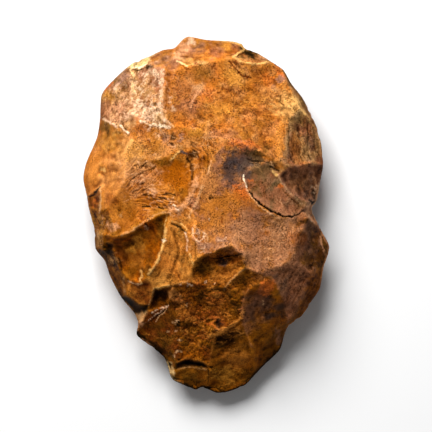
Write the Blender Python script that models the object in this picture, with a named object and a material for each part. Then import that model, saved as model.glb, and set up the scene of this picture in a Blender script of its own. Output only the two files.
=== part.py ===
"""A knapped stone hand axe: one flint pebble, flaked on both faces, lying on its flatter underside.

The form is drawn as a net of ridges. Each flake scar is a loop of named ridge points, and the stone's surface
inside a loop spans its ridges and is hollowed by the depth of that scar. Plan points are (across, along) and
ridge points are (across, along, height above the ground), in millimetres of a stone DRAWN_LENGTH long. The
long axis runs along Y, with the narrow end towards -Y.
"""

import bpy
import numpy as np
from mathutils import Vector
from mathutils.geometry import delaunay_2d_cdt

# Driving dimensions, in metres: the stone's length, and the size of the facets on each face.
LENGTH = 0.135
TOP_FACET = 0.0024
UNDERSIDE_FACET = 0.0034

# The drawing's own unit: one millimetre on a stone of this length.
DRAWN_LENGTH = 134.8
UNIT = LENGTH / DRAWN_LENGTH

# The cutting edge all the way round: its mean height, how it rises to the broad end and to the right, and how
# many times it waves up and down on the way round, each with its height and its start. Lifts are stretches
# where it runs higher: their middle, reach and height.
RIM_MEAN_HEIGHT = 13.5
RIM_RISE_ALONG = 0.070
RIM_RISE_ACROSS = 0.010
RIM_WAVES = ((4, 0.9, 1.1), (9, 0.5, 2.0))
RIM_LIFTS = (((-21, -48), 15, 5.0), ((40, -36), 16, 5.0), ((46, -10), 9, 1.5))
RIM_STEPS = 3
RIM_FULLNESS = 0.75

# The points between ridges: half the width and length of the area that their lattice covers, and how near a
# ridge, in facets, they may come.
LATTICE_HALF_WIDTH = 50
LATTICE_HALF_LENGTH = 70
LATTICE_GAP = 0.5

# How far across a scar, in half widths, its hollow reaches full depth.
HOLLOW_REACH = 1.15

STONE_COLOUR = (0.42, 0.17, 0.045, 1.0)
STONE_ROUGHNESS = 0.5

# The edge seen from above, clockwise: broad end (n), right side (e), narrow end (s) and left side (w).
RIM = {
    "n1": (-6.5, 67.2), "n2": (0.5, 66.0), "n3": (9.5, 65.5), "n4": (13.5, 64.6), "n5": (15.3, 62.8),
    "n6": (20.0, 60.8), "n7": (25.5, 57.4), "n8": (29.5, 54.6),
    "e1": (32.3, 49.8), "e2": (36.6, 44.3), "e3": (41.0, 35.6), "e4": (43.2, 29.5), "e5": (44.4, 19.0),
    "e6": (43.2, 12.0), "e7": (42.0, 5.6), "e8": (40.3, 2.0), "e9": (43.2, -4.8), "e10": (46.7, -12.0),
    "e11": (44.5, -20.0), "e12": (43.2, -27.5), "e13": (40.2, -32.3), "e14": (36.4, -38.0),
    "e15": (31.0, -42.5), "e16": (28.1, -51.0), "e17": (22.3, -56.8),
    "s1": (19.0, -60.3), "s2": (14.5, -64.8), "s3": (5.3, -67.6), "s4": (-0.5, -65.6), "s5": (-4.0, -66.1),
    "s6": (-9.0, -64.0), "s7": (-12.8, -62.0),
    "w1": (-14.2, -57.5), "w2": (-16.0, -53.5), "w3": (-22.0, -48.6), "w4": (-26.0, -45.2),
    "w5": (-25.5, -41.0), "w6": (-26.8, -37.3), "w7": (-32.0, -31.0), "w8": (-36.2, -23.0),
    "w9": (-38.2, -17.3), "w10": (-41.6, -12.7), "w11": (-42.1, -5.5), "w12": (-44.2, 3.0),
    "w13": (-44.8, 7.0), "w14": (-46.2, 13.8), "w15": (-45.2, 19.5), "w16": (-41.0, 29.5),
    "w17": (-39.9, 36.0), "w18": (-39.2, 45.4), "w19": (-35.8, 50.0), "w20": (-28.0, 57.0),
    "w21": (-21.0, 60.0), "w22": (-16.0, 62.3), "w23": (-11.8, 63.0), "w24": (-8.5, 66.2),
}

# Where ridges meet on the upper face.
UPPER_RIDGES = {
    # crown scar, and the chip beside it
    "c1": (-12, 58.5, 27), "c2": (-7, 55.6, 30), "c3": (1, 57, 30), "c4": (10.5, 59.2, 27),
    "c5": (17.5, 56.9, 27),
    # cortex patch, and the foot of the wall along its right border
    "k0": (-20.5, 56.5, 26.5), "k1": (-15, 54.5, 30.5), "k2": (-15.5, 46, 34.5), "k3": (-15.5, 39, 37),
    "k4": (-13, 33, 38), "k5": (-25, 35.2, 35), "k6": (-30.5, 30.8, 31.5), "k7": (-35, 34.8, 28),
    "m1": (-13.6, 53.8, 29.4), "m2": (-13.9, 46, 32.6), "m3": (-13.7, 39, 35),
    # right border of the central scar
    "d1": (29.3, 52.6, 21.5), "d2": (33.2, 45.2, 23.2), "d3": (35.3, 40.3, 24.5), "d4": (38.6, 36.9, 21.5),
    "d5": (31.2, 35.5, 30), "d6": (29.6, 28, 34), "d7": (27.6, 20, 37.5),
    # lower border of the central scar, and the two facets on the right edge
    "f1": (-3, 31.5, 40.5), "f2": (8, 28, 41.6), "f3": (17, 24.8, 41.4), "g2": (37.5, 18.8, 28),
    "g3": (31, 18.2, 34.5), "g5": (-17.5, 20.5, 39), "g6": (-9, 23.5, 40.4), "g7": (-2.5, 25, 40.8),
    "h1": (27.2, 14.5, 37.8), "h2": (28.6, 11.5, 37.6), "h3": (32, 7.6, 35.6), "h4": (38.2, 4.6, 29.5),
    # the flake that never came away
    "l1": (14.2, 14, 42.6), "l2": (17, 17.6, 42), "l3": (22.8, 19.8, 40.2), "l4": (36.4, 1.2, 32),
    "l5": (32, -0.8, 37), "l6": (25, 0.9, 41.2), "l7": (18, 5.9, 43), "l8": (15.2, 9.8, 43),
    # right flank
    "q1": (38.5, -1.2, 31), "q2": (34.5, -8, 36.5), "q3": (33, -15.5, 36), "q4": (39.5, -21.5, 26.4),
    "q5": (27, -19.8, 38), "q6": (20, -21.2, 39.4), "q7": (25, -23.6, 37.6), "q8": (27.6, -27.5, 34),
    "q9": (29.6, -33, 29), "q10": (30.6, -39.5, 22.9), "q11": (37, -28.5, 23.9), "q12": (34.2, -35.8, 20.8),
    # the highest ridge, and the spine that climbs to it
    "p1": (15, -19.6, 40), "p2": (14.6, -16, 42.5), "p3": (10, -11.6, 44.2), "p4": (5, -12.4, 44.3),
    "p5": (0, -14.2, 43.6), "p6": (-4.5, -8.5, 43), "p7": (-3.2, -3, 43.6),
    "a1": (-12.2, 0.8, 40.5), "a2": (-6.2, 5, 42.8), "a3": (-2.8, 10, 43.2), "a4": (0.4, 15, 43.4),
    "a5": (2.6, 20.5, 42.6),
    # left shoulder
    "v1": (-29, 22, 35.5), "v2": (-31, 12, 36.3), "v3": (-36.5, 3, 31.5), "t2": (-39.4, 10.4, 29),
    "t3": (-38.8, 1.5, 29), "u6": (-38.3, -7.4, 28.5), "u5": (-33, -8.2, 33.5), "u4": (-27, -6, 37.5),
    "u3": (-22, -2.6, 39.5), "u2": (-18, -0.4, 40.2),
    # left flank below the shoulder
    "x1": (-15, -5, 39.8), "x2": (-15, -9.5, 38.8), "x3": (-16.6, -13, 37.4), "x4": (-19.2, -19, 34.2),
    "x5": (-21.6, -22.6, 31.7), "b1": (-34.5, -12, 26.5), "b2": (-32.6, -20, 24.5),
    "b3": (-28.5, -24.8, 25.2),
    "b4": (-23.8, -25.6, 28.6), "b5": (-37.8, -13.2, 24),
    "z1": (-19.2, -27.6, 29.6), "z2": (-12, -26, 34.4), "z3": (-5.5, -25, 36.9), "z4": (-4, -17, 41.5),
    "y1": (-29.5, -30.2, 20.8), "y2": (-24.5, -33.2, 21.5), "y3": (-21.2, -33.4, 23.3),
    "y4": (-22, -36.4, 21.9), "y6": (-13.5, -34.2, 26.4), "y7": (-24.2, -40.6, 19.3),
    # narrow end
    "r1": (-10.6, -39, 25.9), "r2": (-10.6, -45, 22.6), "r3": (-12.3, -51, 18.4), "o1": (-11.2, -55.6, 15.9),
    "o2": (-7, -54.4, 18), "o3": (-2.5, -55.2, 18.7), "o4": (1.2, -57, 17.7), "o5": (-11.8, -58.4, 13.6),
    "o6": (-6, -57.2, 15.6), "o7": (-1, -57.4, 16.4), "j1": (1, -63.8, 12.4), "i1": (8, -25, 36.7),
    "i2": (14.8, -30.5, 32.8), "i3": (13.2, -35, 30.2), "i4": (13.8, -38.2, 28.3), "i5": (7, -42.6, 26.5),
    "i6": (1, -45, 24.8), "i7": (2.4, -50, 22.1), "i10": (15, -45, 24.2), "i11": (17, -49, 21.8),
    "i12": (18.2, -52.5, 19), "i8": (17.5, -26.4, 35.3), "i9": (21.3, -24.3, 36.8),
}

# Each scar of the upper face: the ridge points round it, clockwise or not, and its depth. Two rim points in
# a row follow the edge. A negative depth bulges.
UPPER_SCARS = {
    "crown": ("n1 n5 c4 c3 c2 c1 w23", 1.1),
    "crown chip": ("n5 n7 c5 c4", 1.1),
    "shoulder": ("w21 w23 c1 c2 m1 k1 k0", 0.5),
    "cortex": ("w17 w21 k0 k1 k2 k3 k4 k5 k6 k7", -1.6),
    "cortex wall": ("k1 k2 k3 k4 m3 m2 m1", 0.1),
    "central": ("m1 c2 c3 c4 c5 n7 n8 d1 d2 d3 d5 d6 d7 f3 f2 f1 k4 m3 m2", 1.0),
    "edge strip": ("n8 e3 d4 d3 d2 d1", 0.3),
    "upper right facet": ("d3 d4 e3 e5 g2 g3 d7 d6 d5", 1.2),
    "lower right facet": ("g3 g2 e5 e7 h4 h3 h2 h1", 2.4),
    "bridge": ("l3 d7 g3 h1", 0.4),
    "clinging flake": ("l1 l2 l3 h1 h2 h3 h4 l4 l5 l6 l7 l8", 0.6),
    "notch": ("h4 e7 e9 q1 l4", 0.8),
    "right dark facet": ("q1 e9 e11 q4 q3 q2", 1.2),
    "purple flank": ("q6 q5 q3 q4 q11 q12 q10 q9 q8 q7", 0.9),
    "right edge chips": ("q4 e11 e15 q10 q12 q11", 0.8),
    "saddle": ("f2 f3 d7 l3 l2 l1 l8 l7 l6 l5 l4 q1 q2 q3 q5 q6 p1 p2 p3 p4 p5 p6 p7 a2 a3 a4 a5", 0.8),
    "upper band": ("k5 k4 f1 f2 a5 g7 g6 g5 v1", 0.4),
    "rippled bowl": ("v1 g5 g6 g7 a5 a4 a3 a2 a1 u2 u3 u4 u5 v3 v2", 1.3),
    "left bulge": ("w17 k7 k6 k5 v1 v2 v3 t3 t2 w13", 0.2),
    "edge triangle": ("w12 w13 t2 t3", 1.2),
    "left lip": ("w11 w12 t3 v3 u5 u6", 0.6),
    "nub": ("w10 w11 u6 b5", -0.6),
    "great left scar": ("u6 u5 u4 u3 u2 a1 x1 x2 x3 x4 x5 b4 b3 b2 b1 b5", 3.0),
    "left edge chips": ("w10 b5 b1 b2 b3 y1 w7", 1.0),
    "striated": ("a1 a2 p7 p6 p5 z4 z3 z2 z1 x5 x4 x3 x2 x1", 0.9),
    "red facet": ("b3 b4 x5 z1 y3 y2 y1", 0.9),
    "black band": ("y1 y2 y3 y4 w6 w7", 1.0),
    "cream facet": ("y4 w6 w5 y7", 0.1),
    "black hollow": ("z1 z2 y6 y4 y3", 3.0),
    "brown facet": ("y4 y6 r1 r2 r3 w2 w5 y7", 1.0),
    "rough front": ("z2 z3 i1 i2 i3 i4 i5 i6 i7 o4 o3 o2 o1 r3 r2 r1 y6", 1.2),
    "front hollow": ("p5 p4 p3 p2 p1 i1 z3 z4", 3.2),
    "tan wedge": ("p1 q6 q7 i9 i8 i2 i1", 1.2),
    "right hollow": ("q7 q8 q9 q10 i10 i4 i3 i2 i8 i9", 1.3),
    "lower right scar": ("q10 e15 s1 i12 i11 i10", 1.0),
    "end scar": ("i6 i5 i4 i10 i11 i12 s1 s4 j1 o4 i7", 1.8),
    "step": ("o1 o2 o3 o4 o7 o6 o5", 1.3),
    "end facet": ("o5 o6 o7 o4 j1 s4 s7", 0.6),
    "end chip": ("w2 r3 o1 o5 s7 w1", 0.6),
}

# Where ridges meet on the underside: corners of the worn flat that it rests on (t), and a rough ring
# outside it (r).
UNDERSIDE_RIDGES = {
    "t1": (-20, 9, 0), "t2": (-11, 20, 0), "t3": (8, 22, 0), "t4": (20, 10, 0), "t5": (18, -7, 0),
    "t6": (4, -20, 0), "t7": (-13, -13, 0),
    "r1": (-29, 30, 8.9), "r2": (-12, 42, 7.2), "r3": (9, 48, 9.8), "r4": (25, 37, 8.4), "r5": (34, 7, 8.4),
    "r6": (31, -12, 6.5), "r7": (27, -23, 6.8), "r8": (16, -41, 6.0), "r9": (1, -42, 5.0),
    "r10": (-16, -38, 6.2), "r11": (-32, -12, 9.2), "r12": (-33, 13, 7.6), "r13": (-3, 35, 3.6),
    "r14": (26, 24, 4.9), "r15": (-22, -26, 5.4), "r16": (24, -31, 6.4),
}

# Each scar of the underside, in the same way.
UNDERSIDE_SCARS = {
    "resting flat": ("t1 t2 t3 t4 t5 t6 t7", 0.0),
    "north-west": ("w18 n1 r2 r13 t2 t1 r1", 2.4),
    "north": ("n1 n5 r3 r2", 1.4),
    "inner north": ("t2 r13 r2 r3 r4 r14 t3", 1.1),
    "north-east": ("n5 e1 r4 r3", 1.6),
    "east": ("e1 e6 r5 t4 t3 r14 r4", 2.1),
    "under the notch": ("e6 e10 r6 r5", 1.1),
    "inner south-east": ("t4 r5 r6 r7 t5", 0.9),
    "south-east": ("e10 e13 r16 r7 r6", 1.4),
    "flank": ("e13 e15 r8 r16", 1.1),
    "south": ("t5 r7 r16 r8 r9 t6", 1.2),
    "end": ("e15 s2 r9 r8", 1.2),
    "narrow end": ("s2 w4 r10 r9", 1.0),
    "inner south-west": ("t6 r9 r10 r15", 0.6),
    "south-west": ("w4 w11 r11 t7 t6 r15 r10", 2.2),
    "inner west": ("t7 r11 r12 r1 t1", 0.9),
    "west": ("w11 w14 r12 r11", 1.2),
    "shoulder edge": ("w14 w18 r1 r12", 1.4),
}


def rim_outline():
    """The edge in plan, smooth through every rim point, and the place of each rim point in it."""
    points = np.array(list(RIM.values()))
    ahead = np.roll(points, -1, axis=0)
    reach = np.linalg.norm(ahead - points, axis=1)[:, None] * RIM_FULLNESS
    heading = ahead - np.roll(points, 1, axis=0)
    heading /= np.linalg.norm(heading, axis=1)[:, None]
    heading_on = np.roll(heading, -1, axis=0)
    share = np.arange(RIM_STEPS) / RIM_STEPS
    outline = []
    for here, there, length, leave, arrive in zip(points, ahead, reach, heading, heading_on):
        for t in share:
            outline.append(
                (2 * t**3 - 3 * t**2 + 1) * here
                + (t**3 - 2 * t**2 + t) * length * leave
                + (3 * t**2 - 2 * t**3) * there
                + (t**3 - t**2) * length * arrive
            )
    places = {name: order * RIM_STEPS for order, name in enumerate(RIM)}
    return np.array(outline), places


def rim_heights(outline):
    """The height of the edge at each point of the outline."""
    turn = 2 * np.pi * np.arange(len(outline)) / len(outline)
    heights = RIM_MEAN_HEIGHT + RIM_RISE_ACROSS * outline[:, 0] + RIM_RISE_ALONG * outline[:, 1]
    for waves, swing, start in RIM_WAVES:
        heights += swing * np.sin(waves * turn + start)
    for middle, reach, lift in RIM_LIFTS:
        away = np.linalg.norm(outline - middle, axis=1)
        heights += lift * np.exp(-((away / reach) ** 2))
    return heights


def rim_run(start, end, count):
    """The outline places from start up to but not including end, the shorter way round."""
    forward = (end - start) % count
    if forward < count / 2:
        return [(start + step) % count for step in range(forward)]
    return [(start - step) % count for step in range(count - forward)]


def scar_loops(scars, ridges, rim, places):
    """Each scar's border as an array of ridge and rim points, with the scar's depth."""
    loops = []
    for names, depth in scars.values():
        corners = names.split()
        border = []
        for here, there in zip(corners, corners[1:] + corners[:1]):
            if here in places and there in places:
                border.extend(rim[place] for place in rim_run(places[here], places[there], len(rim)))
            elif here in places:
                border.append(rim[places[here]])
            else:
                border.append(ridges[here])
        loops.append((np.array(border, float), depth))
    return loops


def is_inside(points, border):
    """True for each plan point inside the border."""
    start = border[:, :2]
    end = np.roll(start, -1, axis=0)
    across, along = points[:, :1], points[:, 1:2]
    straddles = (start[:, 1] > along) != (end[:, 1] > along)
    rise = np.where(straddles, end[:, 1] - start[:, 1], 1.0)
    crossing = start[:, 0] + (along - start[:, 1]) / rise * (end[:, 0] - start[:, 0])
    return (straddles & (across < crossing)).sum(axis=1) % 2 == 1


def spanned_height(points, border):
    """The border's heights carried across it smoothly, by mean value coordinates."""
    spoke = border[None, :, :2] - points[:, None]
    reach = np.linalg.norm(spoke, axis=2) + 1e-9
    next_spoke = np.roll(spoke, -1, axis=1)
    next_reach = np.roll(reach, -1, axis=1)
    cross = spoke[..., 0] * next_spoke[..., 1] - spoke[..., 1] * next_spoke[..., 0]
    dot = (spoke * next_spoke).sum(axis=2)
    half_angle = cross / np.maximum(reach * next_reach + dot, 1e-9)
    weight = (half_angle + np.roll(half_angle, 1, axis=1)) / reach
    return (weight * border[:, 2]).sum(axis=1) / weight.sum(axis=1)


def way_in(points, border):
    """How far each point lies from the border, smoothly, as a share of the scar's half width and up to 1."""
    start = border[:, :2]
    edge = np.roll(start, -1, axis=0) - start
    length = np.linalg.norm(edge, axis=1)
    edge = edge / length[:, None]
    offset = points[:, None] - start[None]
    before = -(offset * edge).sum(axis=2)
    after = before + length
    aside = np.maximum((offset[..., 0] * edge[:, 1] - offset[..., 1] * edge[:, 0]) ** 2, 1e-6)
    pull = (after / np.sqrt(aside + after**2) - before / np.sqrt(aside + before**2)) / aside
    distance = np.sqrt(2 / pull.sum(axis=1))
    doubled_area = (start[:, 0] * np.roll(start[:, 1], -1) - start[:, 1] * np.roll(start[:, 0], -1)).sum()
    half_width = abs(doubled_area) / 2 / length.sum()
    return np.minimum(distance / (HOLLOW_REACH * half_width), 1)


def face_heights(points, loops, inward):
    """The height of one face at each plan point. Inward is -1 on the upper face and 1 on the underside."""
    heights = np.zeros(len(points))
    for border, depth in loops:
        here = is_inside(points, border)
        if here.any():
            share = way_in(points[here], border)
            heights[here] = spanned_height(points[here], border) + inward * depth * share * (2 - share)
    return heights


def plan_key(point):
    """What makes two points one: the same place in plan to a thousandth of a millimetre."""
    return tuple(np.round(point[:2], 3))


def ridge_net(rim, loops, facet):
    """Points and edges of the outline and of every ridge, with ridges cut into steps of about one facet."""
    points = [tuple(point) for point in rim]
    found = {plan_key(point): place for place, point in enumerate(points)}
    on_rim = set(found)
    edges = {(place, (place + 1) % len(rim)) for place in range(len(rim))}
    for border, _ in loops:
        for here, there in zip(border, np.roll(border, -1, axis=0)):
            if {plan_key(here), plan_key(there)} <= on_rim:
                continue
            steps = max(1, round(np.linalg.norm(there[:2] - here[:2]) / facet))
            chain = []
            for step in range(steps + 1):
                point = here + (there - here) * step / steps
                if plan_key(point) not in found:
                    found[plan_key(point)] = len(points)
                    points.append(tuple(point))
                chain.append(found[plan_key(point)])
            for first, second in zip(chain, chain[1:]):
                if (second, first) not in edges:
                    edges.add((first, second))
    return np.array(points), sorted(edges)


def gap_to_net(places, net, edges):
    """The distance in plan from each place to the nearest edge of the net."""
    start = net[[first for first, _ in edges], :2]
    run = net[[second for _, second in edges], :2] - start
    offset = places[:, None] - start[None]
    share = (offset * run).sum(axis=2) / (run * run).sum(axis=1)
    nearest = offset - np.clip(share, 0, 1)[..., None] * run
    return np.linalg.norm(nearest, axis=2).min(axis=1)


def lattice(net, edges, facet, rim, keep_clear):
    """Even triangular lattice places inside the rim, clear of the net and of the inside of one loop."""
    rows = np.arange(-LATTICE_HALF_LENGTH, LATTICE_HALF_LENGTH, facet * np.sqrt(3) / 2)
    columns = np.arange(-LATTICE_HALF_WIDTH, LATTICE_HALF_WIDTH, facet)
    across, along = np.meshgrid(columns, rows)
    across = across + facet / 2 * (np.arange(len(rows)) % 2)[:, None]
    places = np.column_stack([across.ravel(), along.ravel()])
    places = places[is_inside(places, rim)]
    if keep_clear is not None:
        places = places[~is_inside(places, keep_clear)]
    return places[gap_to_net(places, net, edges) > LATTICE_GAP * facet]


def face_mesh(rim, places, scars, ridges, facet, inward, keep_clear=None):
    """Vertices and triangles of one face. Its first vertices are the rim's."""
    loops = scar_loops(scars, ridges, rim, places)
    net, edges = ridge_net(rim, loops, facet)
    bare = None
    if keep_clear is not None:
        bare, _ = scar_loops({keep_clear: scars[keep_clear]}, ridges, rim, places)[0]
    filling = lattice(net, edges, facet, rim, bare)
    heights = face_heights(filling, loops, inward)
    points = np.concatenate([net, np.column_stack([filling, heights])])
    plan = [Vector(point[:2]) for point in points]
    made = delaunay_2d_cdt(plan, edges, [], 1, 1e-6)
    kept = [sources[0] for sources in made[3]]
    triangles = [tuple(kept[corner] for corner in triangle) for triangle in made[2]]
    return points, triangles


def stone_mesh():
    """The closed stone: the upper face and the underside, sharing the rim."""
    outline, places = rim_outline()
    rim = np.column_stack([outline, rim_heights(outline)])
    upper, upper_triangles = face_mesh(rim, places, UPPER_SCARS, UPPER_RIDGES, TOP_FACET / UNIT, -1)
    lower, lower_triangles = face_mesh(
        rim, places, UNDERSIDE_SCARS, UNDERSIDE_RIDGES, UNDERSIDE_FACET / UNIT, 1, "resting flat"
    )
    count = len(rim)
    shift = len(upper) - count
    vertices = np.concatenate([upper, lower[count:]])
    triangles = list(upper_triangles)
    for first, second, third in lower_triangles:
        turned = (third, second, first)
        triangles.append(tuple(corner if corner < count else corner + shift for corner in turned))
    low, high = vertices.min(axis=0), vertices.max(axis=0)
    centre = np.array([(low[0] + high[0]) / 2, (low[1] + high[1]) / 2, 0])
    return (vertices - centre) * UNIT, triangles


def stone_material():
    """Patinated flint: brown, with a dull gloss."""
    material = bpy.data.materials.new("patinated flint")
    material.use_nodes = True
    shader = material.node_tree.nodes["Principled BSDF"]
    shader.inputs["Base Color"].default_value = STONE_COLOUR
    shader.inputs["Roughness"].default_value = STONE_ROUGHNESS
    shader.inputs["Metallic"].default_value = 0.0
    return material


def main():
    for leftover in list(bpy.data.objects):
        bpy.data.objects.remove(leftover)
    vertices, triangles = stone_mesh()
    mesh = bpy.data.meshes.new("hand_axe")
    mesh.from_pydata([tuple(vertex) for vertex in vertices], [], triangles)
    mesh.materials.append(stone_material())
    mesh.update()
    stone = bpy.data.objects.new("hand_axe", mesh)
    bpy.context.scene.collection.objects.link(stone)


main()
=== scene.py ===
"""The looks of a knapped stone hand axe: its surface and finish, a pale floor and soft light.

The stone's form is drawn as the CAD part draws it, a net of ridges with a hollowed scar in each loop, and
is then worked finer: ridges are worn, scars get their ripples, cracks, steps, pits and grain, and colour is
laid on by scar, patch and line. Plan points are (across, along) and heights are above the ground, in
millimetres of a stone about 135 mm long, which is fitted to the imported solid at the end.
"""

import bpy
import numpy as np
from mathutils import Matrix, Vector
from mathutils.geometry import delaunay_2d_cdt


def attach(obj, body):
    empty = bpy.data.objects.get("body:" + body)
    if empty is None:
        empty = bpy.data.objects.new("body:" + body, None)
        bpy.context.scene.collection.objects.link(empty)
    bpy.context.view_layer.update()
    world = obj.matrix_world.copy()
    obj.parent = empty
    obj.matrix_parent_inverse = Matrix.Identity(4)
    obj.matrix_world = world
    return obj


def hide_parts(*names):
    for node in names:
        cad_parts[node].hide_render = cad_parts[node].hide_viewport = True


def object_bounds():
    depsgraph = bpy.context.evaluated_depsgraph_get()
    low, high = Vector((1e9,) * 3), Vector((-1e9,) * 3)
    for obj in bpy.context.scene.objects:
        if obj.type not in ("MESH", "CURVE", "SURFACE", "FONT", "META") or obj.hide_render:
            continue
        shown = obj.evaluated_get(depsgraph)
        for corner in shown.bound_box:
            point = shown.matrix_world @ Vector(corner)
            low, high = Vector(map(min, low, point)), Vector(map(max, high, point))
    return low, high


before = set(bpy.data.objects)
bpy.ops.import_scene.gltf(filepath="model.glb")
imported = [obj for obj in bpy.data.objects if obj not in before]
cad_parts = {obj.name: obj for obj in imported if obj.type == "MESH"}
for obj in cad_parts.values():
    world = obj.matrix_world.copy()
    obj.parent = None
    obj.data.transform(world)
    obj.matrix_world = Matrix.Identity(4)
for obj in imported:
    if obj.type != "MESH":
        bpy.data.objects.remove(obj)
cad_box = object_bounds()

# Height of the edge: its mean, its slope along and across the stone, slow waves round it (how many, swing
# and start) and the places where it is lifted (middle, reach and lift).
RIM_MEAN_HEIGHT = 13.5
RIM_RISE_ALONG = 0.070
RIM_RISE_ACROSS = 0.010
RIM_WAVES = ((4, 0.9, 1.1), (9, 0.5, 2.0))
RIM_LIFTS = (((-21, -48), 15, 5.0), ((40, -36), 16, 5.0), ((46, -10), 9, 1.5))

# Steps of the outline from one rim point to the next, and how full its curves are.
RIM_STEPS = 16
RIM_FULLNESS = 0.75

# Small chips of the edge: their depth and the runs that have them (middle and reach). Then the roughness of
# the whole edge, and how it wanders in height (size and height).
EDGE_CHIP_DEPTH = 0.38
EDGE_CHIPPED_RUNS = (
    ((42, 30), 13), ((44, 2), 8), ((36, -40), 12), ((6, -67), 14), ((-16, -55), 9), ((-41, -6), 8),
    ((14, 62), 5), ((-24, 58), 6),
)
EDGE_ROUGHNESS = 0.06
EDGE_HEIGHT_WANDER = ((6.0, 0.40), (2.4, 0.10))

# How far in from its border a scar goes on deepening, as a share of its half width.
HOLLOW_REACH = 1.15

# How ridges wander: size of the bends, how far they stray, octaves and seed.
RIDGE_WANDER = ((9.0, 0.8, 3, 11), (3.0, 0.4, 2, 31))

# Half the field of mesh points that the faces are cut from, and the points' spacing on each face.
LATTICE_HALF_WIDTH = 50
LATTICE_HALF_LENGTH = 70
UPPER_SPACING = 0.38
UNDERSIDE_SPACING = 0.68

# Rounds of rubbing that crisp and worn ridges get.
UPPER_WEAR_ROUNDS = (2, 120)
UNDERSIDE_WEAR_ROUNDS = (1, 30)

# Rounds of rubbing that blend the scars' colours, roughness and crust where scars meet.
COLOUR_BLEND_ROUNDS = 3
ROUGHNESS_BLEND_ROUNDS = 8
CRUST_BLEND_ROUNDS = 10

# Rounds of rubbing that tell small and wide hollows from the surface round them, for the shade painted into
# them.
UPPER_HOLLOW_ROUNDS = (6, 70)
UNDERSIDE_HOLLOW_ROUNDS = (3, 25)

# How far in from the edge the relief takes to reach its full height.
UPPER_RIM_FADE = 1.6
UNDERSIDE_RIM_FADE = 2.0

# How far the colours stray over the borders of the scars, and the size of that straying.
UPPER_COLOUR_STRAY = (0.6, 2.0)
UNDERSIDE_COLOUR_STRAY = (0.8, 2.4)

# How far below the upper face's the underside's noise is taken, and its roughness, pitting and crust, on the
# scales of ROUGHNESS and CRUSTED.
UNDERSIDE_LEVEL = -60
UNDERSIDE_ROUGHNESS = 1.5
UNDERSIDE_PITTING = 1.2
UNDERSIDE_CRUST = 0.25

# Where a patch of relief and a run of the edge start to fade and where they end, as shares of their size.
PATCH_FADE = (0.6, 1.15)
RUN_FADE = (0.6, 1.1)

# Height of the streaks and depth of the pits.
STREAK_HEIGHT = 0.35
PIT_DEPTH = 0.16
UNDERSIDE_PIT_DEPTH = 0.3

# Space round each face in the texture, as a share of its side.
BAKE_GAP = 0.012

# The shader's noise per metre, and what it does: where a range starts and ends, and its values there. The
# paint says how many specks there are, from 0 to MOST_SPECKS, and so shifts the noise that they come from.
GRAIN_SCALE = 1900
GRAIN_SHADE = (0.32, 0.68, 0.67, 1.33)
GRAIN_DULLNESS = (0, 1, 0.75, 0.50)
BUMP_STRENGTH = 0.35
BUMP_HEIGHT = 0.00012
SPECK_SCALE = 2100
DARK_SPECKS = (0.68, 0.76, 1.0, 0.36)
PALE_SPECKS = (0.18, 0.29, 1.6, 1.0)
MORE_DARK_SPECKS = 0.12
MORE_PALE_SPECKS = -0.05
MOST_SPECKS = 1.5
SPECULAR = 0.01

# The room, in metres and watts.
WORLD_LIGHT = 0.18
FLOOR_SIZE = 4
FLOOR_GREY = 0.85
FLOOR_ROUGHNESS = 0.9
KEY_LIGHT_PLACE = (-0.215, 0.610, 0.700)
KEY_LIGHT_POWER = 15.3
KEY_LIGHT_SIZE = 0.55
CAMERA_PLACE = (0.0037, -0.0002, 1.2)
CAMERA_LENS = 261
CAMERA_SENSOR = 36

# The edge seen from above, clockwise: broad end (n), right side (e), narrow end (s) and left side (w).
RIM = {
    "n1": (-6.5, 67.2), "n2": (0.5, 66), "n3": (9.5, 65.5), "n4": (13.5, 64.6), "n5": (15.3, 62.8),
    "n6": (20, 60.8), "n7": (25.5, 57.4), "n8": (29.5, 54.6), "e1": (32.3, 49.8), "e2": (36.6, 44.3),
    "e3": (41, 35.6), "e4": (43.2, 29.5), "e5": (44.4, 19), "e6": (43.2, 12), "e7": (42, 5.6),
    "e8": (40.3, 2), "e9": (43.2, -4.8), "e10": (46.7, -12), "e11": (44.5, -20), "e12": (43.2, -27.5),
    "e13": (40.2, -32.3), "e14": (36.4, -38), "e15": (31, -42.5), "e16": (28.1, -51), "e17": (22.3, -56.8),
    "s1": (19, -60.3), "s2": (14.5, -64.8), "s3": (5.3, -67.6), "s4": (-0.5, -65.6), "s5": (-4, -66.1),
    "s6": (-9, -64), "s7": (-12.8, -62), "w1": (-14.2, -57.5), "w2": (-16, -53.5), "w3": (-22, -48.6),
    "w4": (-26, -45.2), "w5": (-25.5, -41), "w6": (-26.8, -37.3), "w7": (-32, -31), "w8": (-36.2, -23),
    "w9": (-38.2, -17.3), "w10": (-41.6, -12.7), "w11": (-42.1, -5.5), "w12": (-44.2, 3), "w13": (-44.8, 7),
    "w14": (-46.2, 13.8), "w15": (-45.2, 19.5), "w16": (-41, 29.5), "w17": (-39.9, 36),
    "w18": (-39.2, 45.4), "w19": (-35.8, 50), "w20": (-28, 57), "w21": (-21, 60), "w22": (-16, 62.3),
    "w23": (-11.8, 63), "w24": (-8.5, 66.2),
}

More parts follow.
